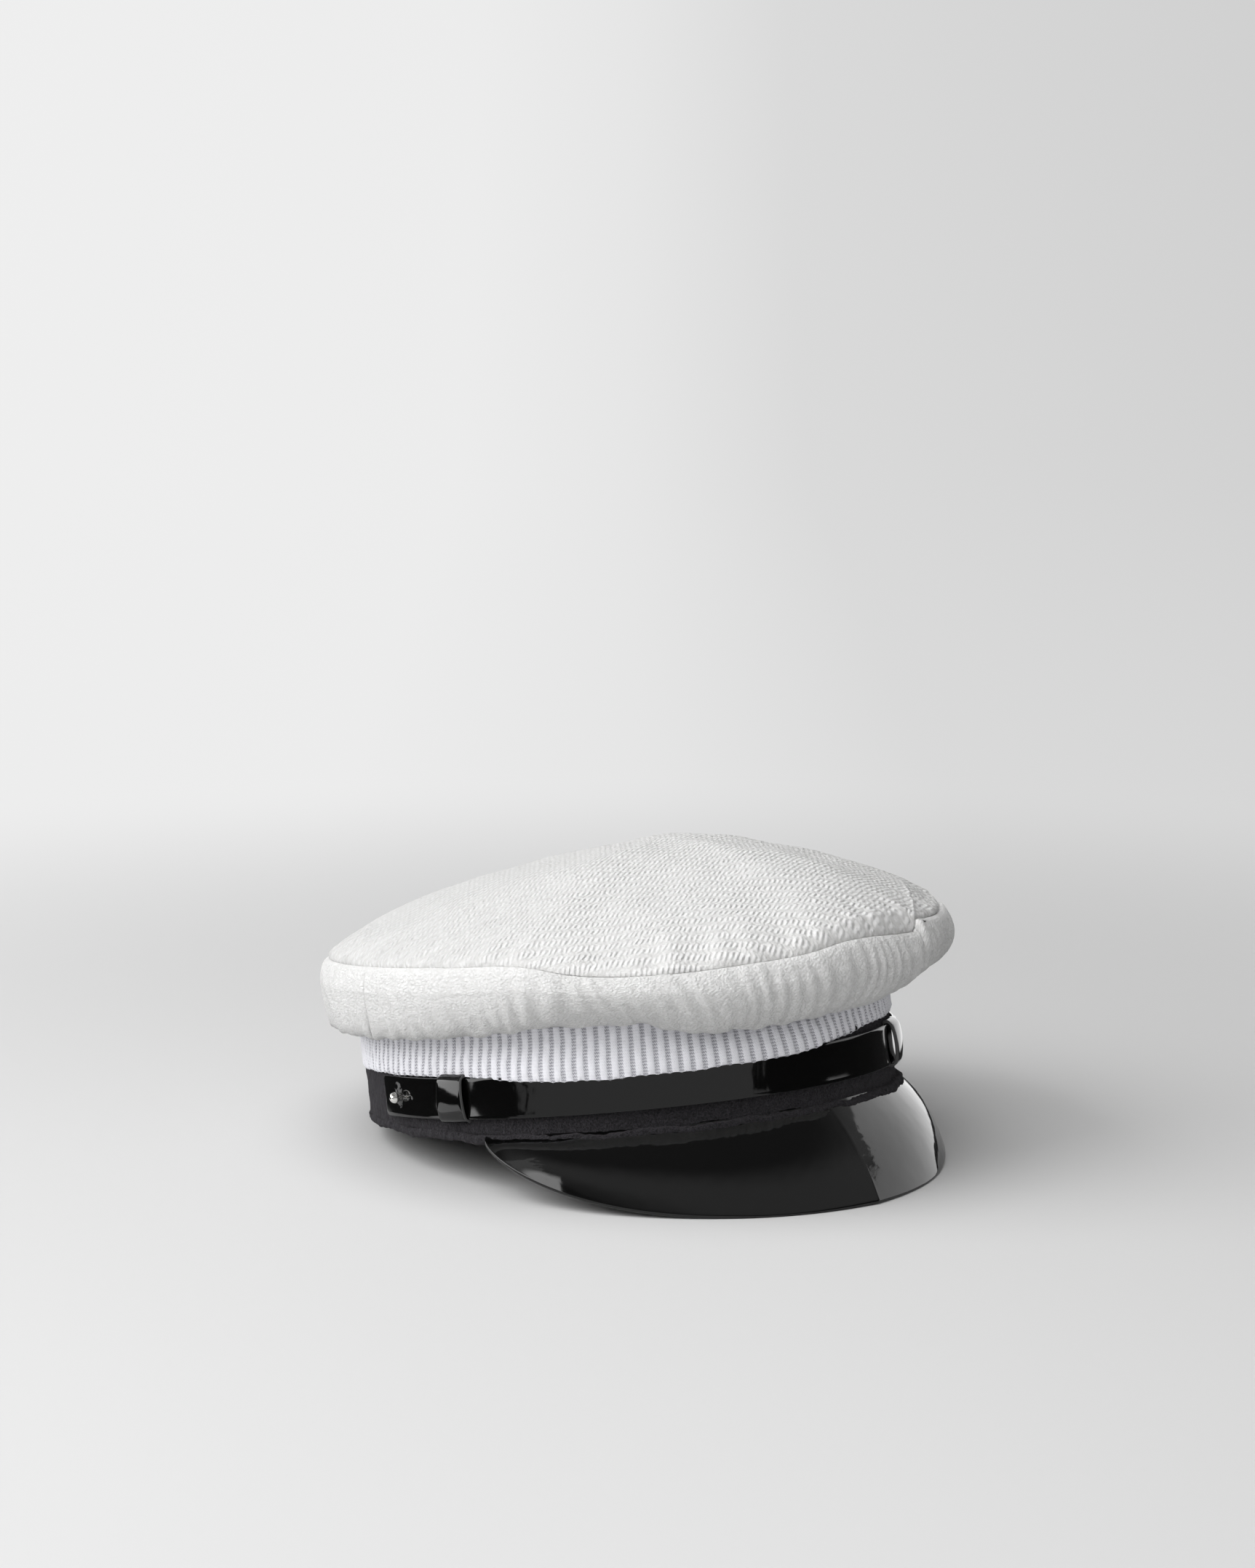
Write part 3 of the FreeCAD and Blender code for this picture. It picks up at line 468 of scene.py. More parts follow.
def tab_wear(n, point):
    """1 where the leather round a stud's keyhole is scuffed through. Both ends are alike."""
    place = n.split(point)
    across = n.math("ABSOLUTE", place["X"]) * -1.0
    mirrored = n.add("ShaderNodeCombineXYZ", {"X": across, "Y": place["Y"], "Z": place["Z"]})
    ragged = n.wobble(mirrored, 700.0, 0.0014)
    hub, end = band_point(np.array([-0.6, 3.7]) - STUD_HEADING, 2.2, STRAP_MIDDLE)
    places = to_model([hub - (0, 0, 1.6), hub + (0, 0, 3.0), hub, end])
    halo = n.step(n.segment_distance(ragged, *places[:2]), 0.0020, 0.0024, 1.0, 0.0)
    slit = n.step(n.segment_distance(ragged, *places[2:]), 0.0006, 0.0009, 1.0, 0.0)
    patches = n.step(n.noise(mirrored, 620.0, 2.0), 0.40, 0.47)
    return n.math("MAXIMUM", halo, slit) * patches


def metal_material():
    """Polished silver-coloured metal with faint rub marks."""
    n = Nodes("polished_metal")
    rubs = n.noise(n.mapped(n.object_point(), scale=(1.0, 1.0, 6.0)), 1500.0, 2.0)
    n.shade(Base_Color=(0.80, 0.79, 0.76, 1.0), Metallic=1.0, Roughness=n.step(rubs, 0.3, 0.8, 0.08, 0.2))
    return n.material


def leather_material():
    """Thin black sweatband leather with a fine pebble grain."""
    n = Nodes("sweat_leather")
    point = n.object_point()
    cells = n.add("ShaderNodeTexVoronoi", {"Vector": n.wobble(point, 500.0, 0.0006), "Scale": 900.0})
    wear = n.noise(point, 70.0, 3.0)
    n.shade(Base_Color=n.ramp(wear, ((0.3, (0.012, 0.011, 0.011)), (0.75, (0.03, 0.027, 0.025)))))
    n.shade(Normal=n.bump(cells["Distance"], 0.00025, 0.6))
    n.shade(Roughness=n.step(wear, 0.3, 0.7, 0.45, 0.65))
    return n.material


CROWN_TOP = crown_material(
    "crown_cloth_top", row=0.0044, turn=41.5, depth=0.001, lean=-40, ordered=0.34, hairy=0.75
)
CROWN_SIDE = crown_material(
    "crown_cloth_side", row=0.0040, turn=0, depth=0.0009, lean=-52, ordered=0.03, hairy=0.9
)
WADDING = plain_cloth("wadding", 0.8, scale=600.0)
LINING = plain_cloth("lining_cloth", 0.035, (0.95, 0.97, 1.0))
VISOR_LINING = plain_cloth("visor_cloth", 0.02)
BUCKRAM = plain_cloth("buckram", 0.6, (1.0, 0.97, 0.9))
BOARD = plain_cloth("fibreboard", 0.045, (1.0, 0.93, 0.85), scale=800.0)
RIB = rib_material()
FELT = felt_material()
PATENT = patent_material("patent_leather")
VISOR_GLOSS = patent_material("visor_patent_leather", wave=1.6, base=0.002)
METAL = metal_material()
SWEAT = leather_material()

# ---- crown

CROWN_HALF_LENGTH = 119.7
CROWN_HALF_WIDTH = 108.5
CROWN_FORWARD = 8.2
DOME_MIDDLE = (11.8, -18.8)
DOME_BASE = 68.0
DOME_RISE = 24.2
CLOTH = 1.2
WADDING_THICK = 1.6
ROUND_OVER = 2.8
ROUND_ANGLE = math.radians(35)
FOLD_ACROSS = np.array([0.75, -0.66])
FOLD_ALONG = np.array([0.66, 0.75])
LINING_THICK = 0.5
INSET = 0.4  # depths are counted from this far inside the plain wall and dome
SIDE_SEAMS = (-99.0, 20.0, 142.0)
CREASE = SIDE_SEAMS[1]
SEAM_KNOTS = (
    (-180, 52.9), (-150, 59.7), (-122, 61.6), (-99, 61.5), (-80, 61.1), (-66, 60.2), (-57, 56.2), (-40, 53.8),
    (-25, 54.1), (-12, 54.8), (-2, 56.8), (16, 55.6), (36, 53.7), (60, 57), (100, 61.5), (140, 55.5),
)
# rough sizes that turn headings and shares into lengths of cloth
SIDE_ARC, SIDE_TALL = 108, 34
TOP_ARC = 115
CLOTH_ARC, CLOTH_TALL = 110, 40


def widest(heading, fold=1.0):
    """Plan points of the crown's widest line, where the ellipse's outward normal has these headings."""
    a, b = CROWN_HALF_LENGTH, CROWN_HALF_WIDTH
    s, c = np.sin(np.radians(heading)), np.cos(np.radians(heading))
    root = np.sqrt(b * b * s * s + a * a * c * c)
    plan = np.stack([b * b * s / root, -a * a * c / root - CROWN_FORWARD], -1)
    corner = 1.2 * bump(around(heading, 46), 0, 14) + 1.6 * crease(heading) * fold
    return plan + np.expand_dims(corner, -1) * outward(heading)


def crease(heading):
    """A sharp fold where the front and left side panels meet: 1 on it, falling off to both sides."""
    return np.exp(-np.abs(around(heading, CREASE)) / 9.0)


def seam_plan(heading, fold=1.0):
    """Plan points of the seam round the crown, which lies a little inside its widest line."""
    return widest(heading, fold) - ROUND_OVER * outward(heading)


def seam_height(heading, fold=1.0):
    """The seam droops right of the front and jumps where the panels meet left of it. The top only eases."""
    jump = smooth(heading, CREASE - 0.8, CREASE + 1.4)
    ease = smooth(heading, CREASE - 60, CREASE + 5)
    step = 4.3 * (ease + (jump - ease) * fold) * (1 - smooth(heading, 50, 110))
    return through(heading, SEAM_KNOTS) + step


def lower_edge(heading):
    """Height of the crown's drooping lower edge."""
    front = 5.2 * smooth(around(heading, -46), 0, 16) * (1 - smooth(around(heading, 8), 0, 26))
    return 36.4 + 1.2 * bump(around(heading, -60), 0, 10) - front + 0.5 * np.sin(np.radians(5 * heading))


def crown_side(heading, t):
    """The side wall: t runs from the mouth (0) over the lowest point to the seam (1)."""
    heading, t = np.broadcast_arrays(heading, t)
    fold = 0.3
    facing = np.cos(np.radians(heading - 45))
    sharp = 1.75 + 0.2 * facing
    low, high = lower_edge(heading), seam_height(heading)
    mouth = oval(heading, 1.5)
    wide = widest(heading)
    out = outward(heading)
    lowest = mouth + out * (4.8 - 3.8 * facing)[..., None]
    # under the lowest point, back up to the mouth
    a = np.clip(t / fold, 0, 1) * math.pi / 2
    inner = mouth + (lowest - mouth) * np.sin(a)[..., None]
    inner_z = low + (38.0 - low) * (1 - np.sin(a)) * np.cos(a) ** 0.5
    # from the lowest point out to the widest, as a superellipse, and on over the shoulder to the seam
    b = np.clip((t - fold) / (1 - fold), 0, 1) * (math.pi / 2 + ROUND_ANGLE)
    below = np.minimum(b, math.pi / 2)
    past = np.maximum(b - math.pi / 2, 0)
    reach = np.sin(below) ** (2 / sharp)
    rise = (1 - np.cos(below) ** (2 / sharp) + np.sin(past)) / (1 + math.sin(ROUND_ANGLE))
    drawn = ROUND_OVER * (1 - np.cos(past)) / (1 - math.cos(ROUND_ANGLE))
    outer = lowest + (wide - lowest) * reach[..., None] - out * drawn[..., None]
    plan = np.where((t > fold)[..., None], outer, inner)
    z = np.where(t > fold, low + (high - low) * rise, inner_z)
    return np.concatenate([plan, z[..., None]], -1)


def crown_side_detail(heading, t):
    """How far the cloth stands out from the plain side wall: ripples, seams and the pinch at the top seam."""
    arc, height = np.radians(heading) * SIDE_ARC, t * SIDE_TALL
    drift = ripples(arc, height, 5, (25, 60)) * 3.5
    slant = np.sin((arc + height * 0.42 + drift) * math.tau / 6.5)
    ripple = 0.36 * slant * smooth(t, 0.3, 0.5) * (1 - 0.75 * smooth(t, 0.78, 1))
    ripple = ripple * (1 + 0.5 * ripples(arc, height, 4, (18, 50)))
    slow = ripples(arc, height, 6, (35, 80)) * 0.6 * smooth(t, 0.2, 0.5)
    pucker = 0.3 * ripples(arc, 0, 8, (5, 11)) * np.exp(-(1 - t) / 0.16)
    seams = sum(-0.8 * np.exp(-np.abs(around(heading, seam)) / 0.3) for seam in SIDE_SEAMS)
    pulls = sum(0.5 * bump(around(heading, seam), 0, 4) for seam in SIDE_SEAMS)
    low = 0.5 * ripples(arc, 0, 7, (7, 16)) * bump(t, 0.33, 0.12)
    grain = ripples(arc, height, 9, (1.6, 3.2), 12) * 0.04
    edge = np.exp(-(1 - t) / 0.018)
    return (0.8 + ripple + slow + pucker + seams + pulls + low + grain) * (1 - edge) - 0.9 * edge


def crown_top(heading, radius):
    """The domed top: radius runs from the middle (0) to the seam (1)."""
    heading, radius = np.broadcast_arrays(heading, radius)
    fold = smooth(radius, 0.965, 1.0)
    plan = DOME_MIDDLE + (seam_plan(heading, fold) - DOME_MIDDLE) * radius[..., None]
    base = DOME_BASE + (seam_height(heading, fold) - DOME_BASE) * radius**1.16
    z = base + DOME_RISE * np.clip(1 - radius**2, 0, 1) ** 0.85
    return np.concatenate([plan, z[..., None]], -1)


def crown_top_detail(heading, radius, points):
    """How far the cloth stands out from the plain dome: sags, seam puckers and the fold from the crease."""
    x, y = points[..., 0], points[..., 1]
    slow = ripples(x, y, 11, (60, 130)) * 0.9 * (1 - radius**6)
    soft = ripples(x, y, 12, (18, 40)) * 0.22
    arc = np.radians(heading) * TOP_ARC
    near = np.exp(-(1 - radius) / 0.05)
    pucker = 0.7 * ripples(arc, 0, 13, (9, 22)) * near * (1 - near) * 3
    grain = ripples(x, y, 14, (1.6, 3.4), 12) * 0.06
    past = (points[..., :2] - seam_plan(CREASE)) @ FOLD_ACROSS
    front = smooth(-points[..., :2] @ FOLD_ALONG, 10, 45)
    drop = -0.12 * np.maximum(past, 0) * smooth(1 - radius, 0.0, 0.06)
    ridge = 0.7 * np.exp(-np.abs(past) / 0.9) * front
    edge = np.exp(-(1 - radius) / 0.007)
    return (1.0 + slow + soft + pucker + grain + ridge) * (1 - edge) - 0.9 * edge + drop


def normals_of(points, wrap):
    """Unit normals of a grid of points, which point outwards when columns run left and rows run up."""
    along = np.roll(points, -1, 1) - np.roll(points, 1, 1) if wrap else np.gradient(points, axis=1)
    cross = np.cross(along, np.gradient(points, axis=0))
    return cross / np.maximum(np.linalg.norm(cross, axis=-1, keepdims=True), 1e-9)


def disc(count):
    """A square grid of points laid over the unit disc, as (heading in degrees, radius). Count is even."""
    line = np.linspace(-1, 1, count)
    u, v = np.meshgrid(line, line)
    wide = np.abs(u) > np.abs(v)
    angle = np.where(wide, math.pi / 4 * v / u, math.pi / 2 - math.pi / 4 * u / v)
    angle = angle + np.where(np.where(wide, u, v) < 0, math.pi, 0)
    return turned(np.degrees(angle) + 90), np.maximum(np.abs(u), np.abs(v))


def side_layer(name, start, stop, outer, inner, cols, rows, material, node, detail=True):
    """One layer of the side wall between two headings and two depths."""
    wrap = stop - start >= 360
    heading = np.linspace(start, stop, cols, endpoint=not wrap)
    t = np.linspace(0.02, 1, rows)[:, None]
    base = crown_side(heading, t)
    out = normals_of(base, wrap)
    lift = crown_side_detail(turned(heading), t) if detail else 0 * t - INSET
    # hidden layers thin out where the wall turns in
    thin = 1 - (0 if detail else 0.95) * bump(t, 0.3, 0.14)
    skin = base + out * (lift - outer * thin)[..., None]
    back = base - out * (INSET + inner * thin)[..., None]
    u, v = np.broadcast_arrays(np.radians(heading) * CLOTH_ARC, t * CLOTH_TALL)
    uv = np.concatenate([np.stack([u, v], -1).reshape(-1, 2)] * 2)
    return finish_mesh(name, shell(skin, back, wrap), material, node, uv=uv)


def top_layer(name, outer, inner, count, material, node, detail=True):
    """One layer of the domed top between two depths."""
    heading, radius = disc(count)
    radius = np.sin(radius * math.pi / 2)
    base = crown_top(heading, radius)
    out = normals_of(base, False)
    lift = crown_top_detail(heading, radius, base) if detail else 0 * radius - INSET
    skin = base + out * (lift - outer)[..., None]
    back = base - out * (INSET + inner)
    uv = np.concatenate([base[..., :2].reshape(-1, 2)] * 2)
    return finish_mesh(name, shell(skin, back, False), material, node, uv=uv)


def build_crown():
    count, cols = ((300, 420))
    panels = [top_layer("crown_top", 0, CLOTH, count, CROWN_TOP, "crown_top_panel")]
    names = ("crown_front_panel", "crown_left_panel", "crown_back_panel")
    nodes = ("crown_side_front", "crown_side_left", "crown_side_back")
    stops = (*SIDE_SEAMS[1:], SIDE_SEAMS[0] + 360)
    for name, node, start, stop in zip(names, nodes, SIDE_SEAMS, stops):
        panels.append(side_layer(name, start, stop, 0, CLOTH, cols, 60, CROWN_SIDE, node))
    wad, lining = CLOTH + WADDING_THICK, CLOTH + WADDING_THICK + LINING_THICK
    top_layer("wadding_top", CLOTH, wad, 90, WADDING, "crown_wadding_top", False)
    side_layer(
        "wadding_side", -180, 180, CLOTH, wad, 240, 30, WADDING, "crown_wadding_side", False
    )
    top_layer("lining_top", wad, lining, 90, LINING, "crown_lining_top", False)
    side_layer(
        "lining_side", -180, 180, wad, lining, 240, 30, LINING, "crown_lining_side", False
    )


# ---- band

FELT_THICK = 1.8
BINDING_HEIGHT = 3.4
BAND_ARC = 98  # rough radius of the band
RIB_TOP = 38.5
RIB_THICK = 1.0


def band_dip(heading):
    """How far the felt's lower edge hangs below the band's datum, deepest at the front."""
    return -4.2 * smooth(np.cos(np.radians(heading)), -0.45, 0.72) ** 0.8


def rib_bottom(heading):
    """Height of the rib knit's folded lower edge."""
    h = turned(heading)
    left = 5.6 * smooth(h, -22, 34) * (1 - smooth(h, 60, 150))
    return 18.0 + 2.8 * (1 - smooth(h, -90, -50)) * smooth(h, -175, -110) + left + 0.5 * smooth(h, 90, 180)


def rib_reach(heading, drop):
    """How far the rib stands off the felt: it lies over the strap's upper edge where it hangs low."""
    h = turned(heading)
    over = smooth(20.6 - rib_bottom(h), -1.5, 2.0) * (1 - smooth(np.abs(h), 108, 120))
    clear = np.maximum(smooth(-h, 100, 125), smooth(h, 5, 30))
    return 0.5 + 0.45 * clear + 3.0 * over * smooth(drop, 0.25, 0.85)


def rib_drop(rows):
    """How far down the folded knit each row lies: from the crown (0) to the fold (1) and back up behind."""
    return np.concatenate([np.linspace(0, 1, rows // 2), np.linspace(1, 0, rows - rows // 2)])[:, None]


def rib_section(heading, arc, rows):
    """The folded knit from under the crown, down its front, round the fold and up behind."""
    drop = rib_drop(rows)
    behind = (np.arange(rows) >= rows // 2)[:, None] * 1.0
    low = rib_bottom(heading) + 0.3 * ripples(arc, 0, 21, (9, 30))
    fold = np.sqrt(np.clip(1 - smooth(drop, 0.93, 1.0) ** 2, 0, 1))
    z = RIB_TOP + (low - RIB_TOP) * drop
    wale = 0.5 + 0.5 * np.cos((arc - rib_lean(heading, drop)) / RIB_PITCH * math.tau)
    z = z - 0.35 * wale**3 * smooth(drop, 0.7, 1.0)
    valley = -0.8 * wale**2 * (1 - behind)
    soft = 0.12 * ripples(arc, z, 22, (3, 9)) * (1 - behind)
    offset = rib_reach(heading, drop) + valley + soft
    return band_point(heading, offset - RIB_THICK * (behind + 0.5 * (1 - fold) * (1 - 2 * behind)), z)


def rib_lean(heading, drop):
    """How far the ribs are pulled sideways towards their lower edge."""
    h = turned(heading)
    left = -1.3 * bump(h, -92, 16)
    right = 3.0 * smooth(h, -45, 25) + 3.5 * smooth(h, 18, 48) * (1 - smooth(h, 70, 110))
    return (left + right) * drop**2.2


def build_rib():
    per_rib = 12
    ribs = round(arc_headings(4)[2] / RIB_PITCH)
    heading, arc, length = arc_headings(ribs * per_rib)
    arc = arc * ribs * RIB_PITCH / length
    section = rib_section(heading, arc, 44)
    uv = np.stack([arc - rib_lean(heading, rib_drop(44)), section[..., 2]], -1).reshape(-1, 2)
    finish_mesh("rib_knit", tube(section), RIB, "rib_knit_band", uv=uv)


def build_felt():
    heading = np.linspace(-180, 180, 900, endpoint=False)
    arc = np.radians(heading) * BAND_ARC
    low = band_dip(heading) + BINDING_HEIGHT - 0.5
    z = low + (34.0 - low) * np.linspace(0, 1, 40)[:, None]
    swell = 0.16 * ripples(arc, z, 31, (7, 20)) + 0.05 * ripples(arc, z, 32, (1.5, 3.5), 10)
    swell = swell - 0.15 * bump(heading, -82, 25)
    wall = np.maximum(-z, 0) * 0.55 - 0.8 * smooth(z - rib_bottom(heading), 0.8, 3.0)
    outer = band_point(heading, swell - 0.1 + wall, z)
    inner = band_point(heading, 0.02 - FELT_THICK + np.maximum(wall, 0), z)
    finish_mesh("felt_wall", shell(outer, inner, True), FELT, "felt_band")


def build_binding():
    """The felt's rolled lower edge, with the stitched groove above the roll."""
    heading = np.linspace(-180, 180, 1200, endpoint=False)
    arc = np.radians(heading) * BAND_ARC
    angle = np.linspace(0, math.tau, 24, endpoint=False)[:, None]
    low = band_dip(heading) + 0.35 * ripples(arc, 0, 41, (8, 24))
    fuzz = 0.16 * ripples(arc, angle * 2, 42, (2.0, 6.0), 10)
    middle = low + BINDING_HEIGHT / 2
    slope = np.maximum(-middle, 0) * 0.6
    full = bump(heading, 38, 20)
    half_wide = 1.25 + 0.35 * smooth(-low, 0, 4) + 0.55 * full
    across = np.cos(angle) * (half_wide + fuzz) - 0.85 + slope
    upright = np.sin(angle) * (BINDING_HEIGHT / 2 + fuzz + 0.5 * full) + middle
    skin = tube(band_point(heading, across, upright)[::-1])
    finish_mesh("felt_roll", skin, FELT, "felt_binding")


# ---- visor

VISOR_HALF_ANGLE = 76.4
VISOR_REACH = 22.0
VISOR_DROP = 34.9
PATENT_THICK = 0.7
BOARD_THICK = 1.0
VISOR_CLOTH = 0.5
VISOR_ROLL = 1.15


def visor_rim(heading):
    """The rim as (outward, height) from the band's oval."""
    u = np.clip(np.abs(heading) / VISOR_HALF_ANGLE, 0, 1)
    reach = VISOR_REACH * (1 - u**0.75) ** 0.32
    drop = VISOR_DROP * (1 - u**2.81) ** 0.85
    return reach, -drop


def visor_share(heading):
    """The radius of the rim's roll, and where it starts on the way from the root (0) to the rim (1)."""
    length = np.maximum(np.hypot(*visor_rim(heading)), 0.1)
    roll = np.minimum(VISOR_ROLL, length / 3)
    return roll, 1 - roll / length


def visor_slope(heading):
    reach, low = visor_rim(heading)
    return np.arctan2(-low, np.maximum(reach, 0.5))


def visor_surface(heading, t, depth):
    """The visor's upper side from its root (0) to its rim (1), moved down into its thickness by depth."""
    heading, t = np.broadcast_arrays(heading, t)
    reach, low = visor_rim(heading)
    crown = 2.5 * np.sin(math.pi * t) * smooth(-low, 2, 20)
    out, down = np.sin(visor_slope(heading)), np.cos(visor_slope(heading))
    offset = reach * t + out * (crown - depth) - 0.3
    z = low * t + down * (crown - depth)
    return band_point(heading, offset, z)


def visor_skin(heading):
    """The patent leather's outer side: down the visor, then round its rolled rim to the underside."""
    roll, share = visor_share(heading)
    slope = visor_slope(heading) + 0.18 * smooth(-visor_rim(heading)[1], 2, 20)
    top = visor_surface(heading, np.linspace(0, 1, 60)[:, None] * share, 0)
    turn = np.radians(np.linspace(0, 170, 15))[1:, None]
    out = roll * (np.sin(slope) * (np.cos(turn) - 1) + np.cos(slope) * np.sin(turn))
    up = roll * (np.cos(slope) * (np.cos(turn) - 1) - np.sin(slope) * np.sin(turn))
    rim = top[-1:] + np.concatenate([out[..., None] * outward(heading), up[..., None]], -1)
    return np.concatenate([top, rim])


def visor_headings(count):
    u = np.linspace(-1, 1, count)
    return np.sign(u) * (1 - (1 - np.abs(u)) ** 1.5) * (VISOR_HALF_ANGLE - 0.05)


def visor_ply(name, top, bottom, material, node):
    """A ply inside the visor, between two depths."""
    heading = visor_headings(361)
    t = np.linspace(0, 1, 60)[:, None] * visor_share(heading)[1]
    skin = shell(visor_surface(heading, t, bottom), visor_surface(heading, t, top), False)
    finish_mesh(name, skin, material, node)


def build_visor():
    heading = visor_headings(481)
    skin = visor_skin(heading)
    thick = np.minimum(PATENT_THICK * 0.85, visor_share(heading)[0] * 0.5)
    back = skin - normals_of(skin[::-1], False)[::-1] * thick[:, None]
    finish_mesh("visor_gloss", shell(back, skin, False), VISOR_GLOSS, "visor_patent")
    core = PATENT_THICK + BOARD_THICK
    visor_ply("visor_core", PATENT_THICK, core, BOARD, "visor_board")
    visor_ply("visor_under", core, core + VISOR_CLOTH, VISOR_LINING, "visor_lining")


# ---- straps, keepers and studs

STRAP_ARC = 108  # rough radius of the straps
STRAP_THICK = 0.6
UNDER_INNER = 0.95
UPPER_INNER = 1.6
TAB_HEADING = 105.0
UPPER_END = 47.0
UNDER_END = -75.0
TAB_CORNER = 2.2
KEEPER_WIDTH = 11.6
KEEPER_THICK = 1.3
KEEPER_ARC = 110  # rough radius of the keepers
RIGHT_KEEPER = -82.8
LEFT_KEEPER = 36.4


def rounded_rectangle(low, high, radii, per_corner, per_side):
    """Points round a rectangle whose corners have these radii, from its lower right corner, anticlockwise."""
    (x0, y0), (x1, y1) = low, high
    corners = ((x1, y0, -1, 1, -90), (x1, y1, -1, -1, 0), (x0, y1, 1, -1, 90), (x0, y0, 1, 1, 180))
    points = []
    for (x, y, sx, sy, start), radius in zip(corners, radii):
        angle = np.radians(start + np.linspace(0, 90, per_corner))
        centre = (x + sx * radius, y + sy * radius)
        arc = centre + radius * np.stack([np.cos(angle), np.sin(angle)], -1)
        if points:
            points.append(np.linspace(points[-1][-1], arc[0], per_side + 2)[1:-1])
        points.append(arc)
    points.append(np.linspace(points[-1][-1], points[0][0], per_side + 2)[1:-1])
    return np.concatenate(points)


def strap_sag(heading):
    """How far both straps lie nearer the felt left of the front."""
    return -0.35 * smooth(heading, 0, 33) * (1 - smooth(heading, 52, 75))


def keyhole_cutter(side):
    """A temporary prism that cuts a strap's keyhole: a round hole with a slit towards the front."""
    angle = np.linspace(0.28, math.tau - 0.28, 40)
    hole = 1.5 * np.stack([np.cos(angle), np.sin(angle)], -1)
    outline = np.concatenate([hole, [(6.4, -0.36), (6.4, 0.36)]])
    out, along = spokes(side * STUD_HEADING)
    ring = band_point(side * STUD_HEADING, 0.0, STRAP_MIDDLE) + outline @ [along * -side, (0, 0, 1)]
    grid = np.stack([ring - 2 * out, ring + 6 * out])
    count = len(ring)
    ends = [list(range(count))[::-1], list(range(count, 2 * count))]
    return add_mesh("cutter", to_model(grid), grid_faces(2, count, True) + ends)


def cut_away(piece, cutter):
    """Cuts one object out of another for good."""
    cut = piece.modifiers.new("cut", "BOOLEAN")
    cut.object, cut.operation, cut.solver = cutter, "DIFFERENCE", "EXACT"
    graph = bpy.context.evaluated_depsgraph_get()
    mesh = bpy.data.meshes.new_from_object(piece.evaluated_get(graph))
    piece.modifiers.clear()
    piece.data = mesh
    bpy.data.objects.remove(cutter)
    mesh.shade_smooth()
    mesh.set_sharp_from_angle(angle=math.radians(38))


def build_strap(name, node, start, stop, inner, side):
    """A strip of patent leather round the band, with bevelled edges, a round-cornered tab and a keyhole."""
    bevel = 0.2
    near_ends = np.concatenate([[0, 0.04, 0.12, 0.2], np.linspace(0.35, TAB_CORNER, 9)])
    near_ends = np.degrees(near_ends / STRAP_ARC)
    middle = np.linspace(start + 1.8, stop - 1.8, 420)
    heading = np.concatenate([start + near_ends, middle, (stop - near_ends)[::-1]])
    from_end = np.radians(np.minimum(heading - start, stop - heading)) * STRAP_ARC
    inset, pinch = (r - np.sqrt(r**2 - np.clip(r - from_end, 0, r) ** 2) for r in (TAB_CORNER, bevel))
    columns = []
    for cut, thin in zip(inset, pinch):
        low = (inner + thin, STRAP_BOTTOM + cut)
        high = (inner + STRAP_THICK - thin, STRAP_BOTTOM + STRAP_HEIGHT - cut)
        columns.append(rounded_rectangle(low, high, [bevel - thin * 0.6] * 4, 4, 12))
    offset, z = np.moveaxis(np.stack(columns, 1), -1, 0)
    wave = 0.05 * ripples(np.radians(heading) * STRAP_ARC, z, 51, (9, 26))
    cupped = 0.12 * ((z - STRAP_MIDDLE) / (STRAP_HEIGHT / 2)) ** 2
    points = band_point(heading, offset + wave + cupped - 0.04 + strap_sag(heading), z)
    piece = finish_mesh(name, tube(points[::-1], wrap=False), PATENT, node, "chin_strap")
    cut_away(piece, keyhole_cutter(side))


def build_keeper(name, node, body, heading, stand, lean):
    """A patent-leather loop round both straps. stand: how far its two ends stand out from the CAD's loop."""
    hole = rounded_rectangle((0.85, 5.9), (3.3, 20.5), (1.0, 1.0, 0.3, 0.3), 9, 14)
    outside = rounded_rectangle((0.35, 4.6), (4.6, 21.8), (2.8, 2.8, 0.8, 0.8), 9, 14)
    half, bevel = KEEPER_WIDTH / 2, 0.28
    profile = rounded_rectangle((-half, 0), (half, KEEPER_THICK), [bevel] * 4, 4, 10)
    along, depth = profile[:, :1], profile[:, 1:] / KEEPER_THICK
    share = 0.5 + along / KEEPER_WIDTH
    plain, z = np.moveaxis(hole + (outside - hole) * depth[..., None], -1, 0)
    above = z - STRAP_MIDDLE
    bulge = 0.12 * (1 - (along / half) ** 2) * depth + stand[0] + (stand[1] - stand[0]) * share
    bulge = bulge + 1.3 * (1 - (above / 8.6) ** 2) - 0.9 + (0.008 - 0.1 * lean) * along * above
    offset = plain + bulge * smooth(plain, 1.2, 3.2) - 0.12 * (1 - smooth(plain, 0.9, 1.3))
    angle = heading + np.degrees(along / KEEPER_ARC) - lean * above
    points = band_point(angle, offset + strap_sag(heading), z)
    piece = finish_mesh(name, tube(points), PATENT, node, body)
    cut = piece.data.attributes.new("cut", "FLOAT", "POINT")
    matt = np.broadcast_to(smooth(np.abs(along), half - bevel * 0.75, half - bevel * 0.35), z.shape)
    cut.data.foreach_set("value", matt.ravel().astype(np.float32))


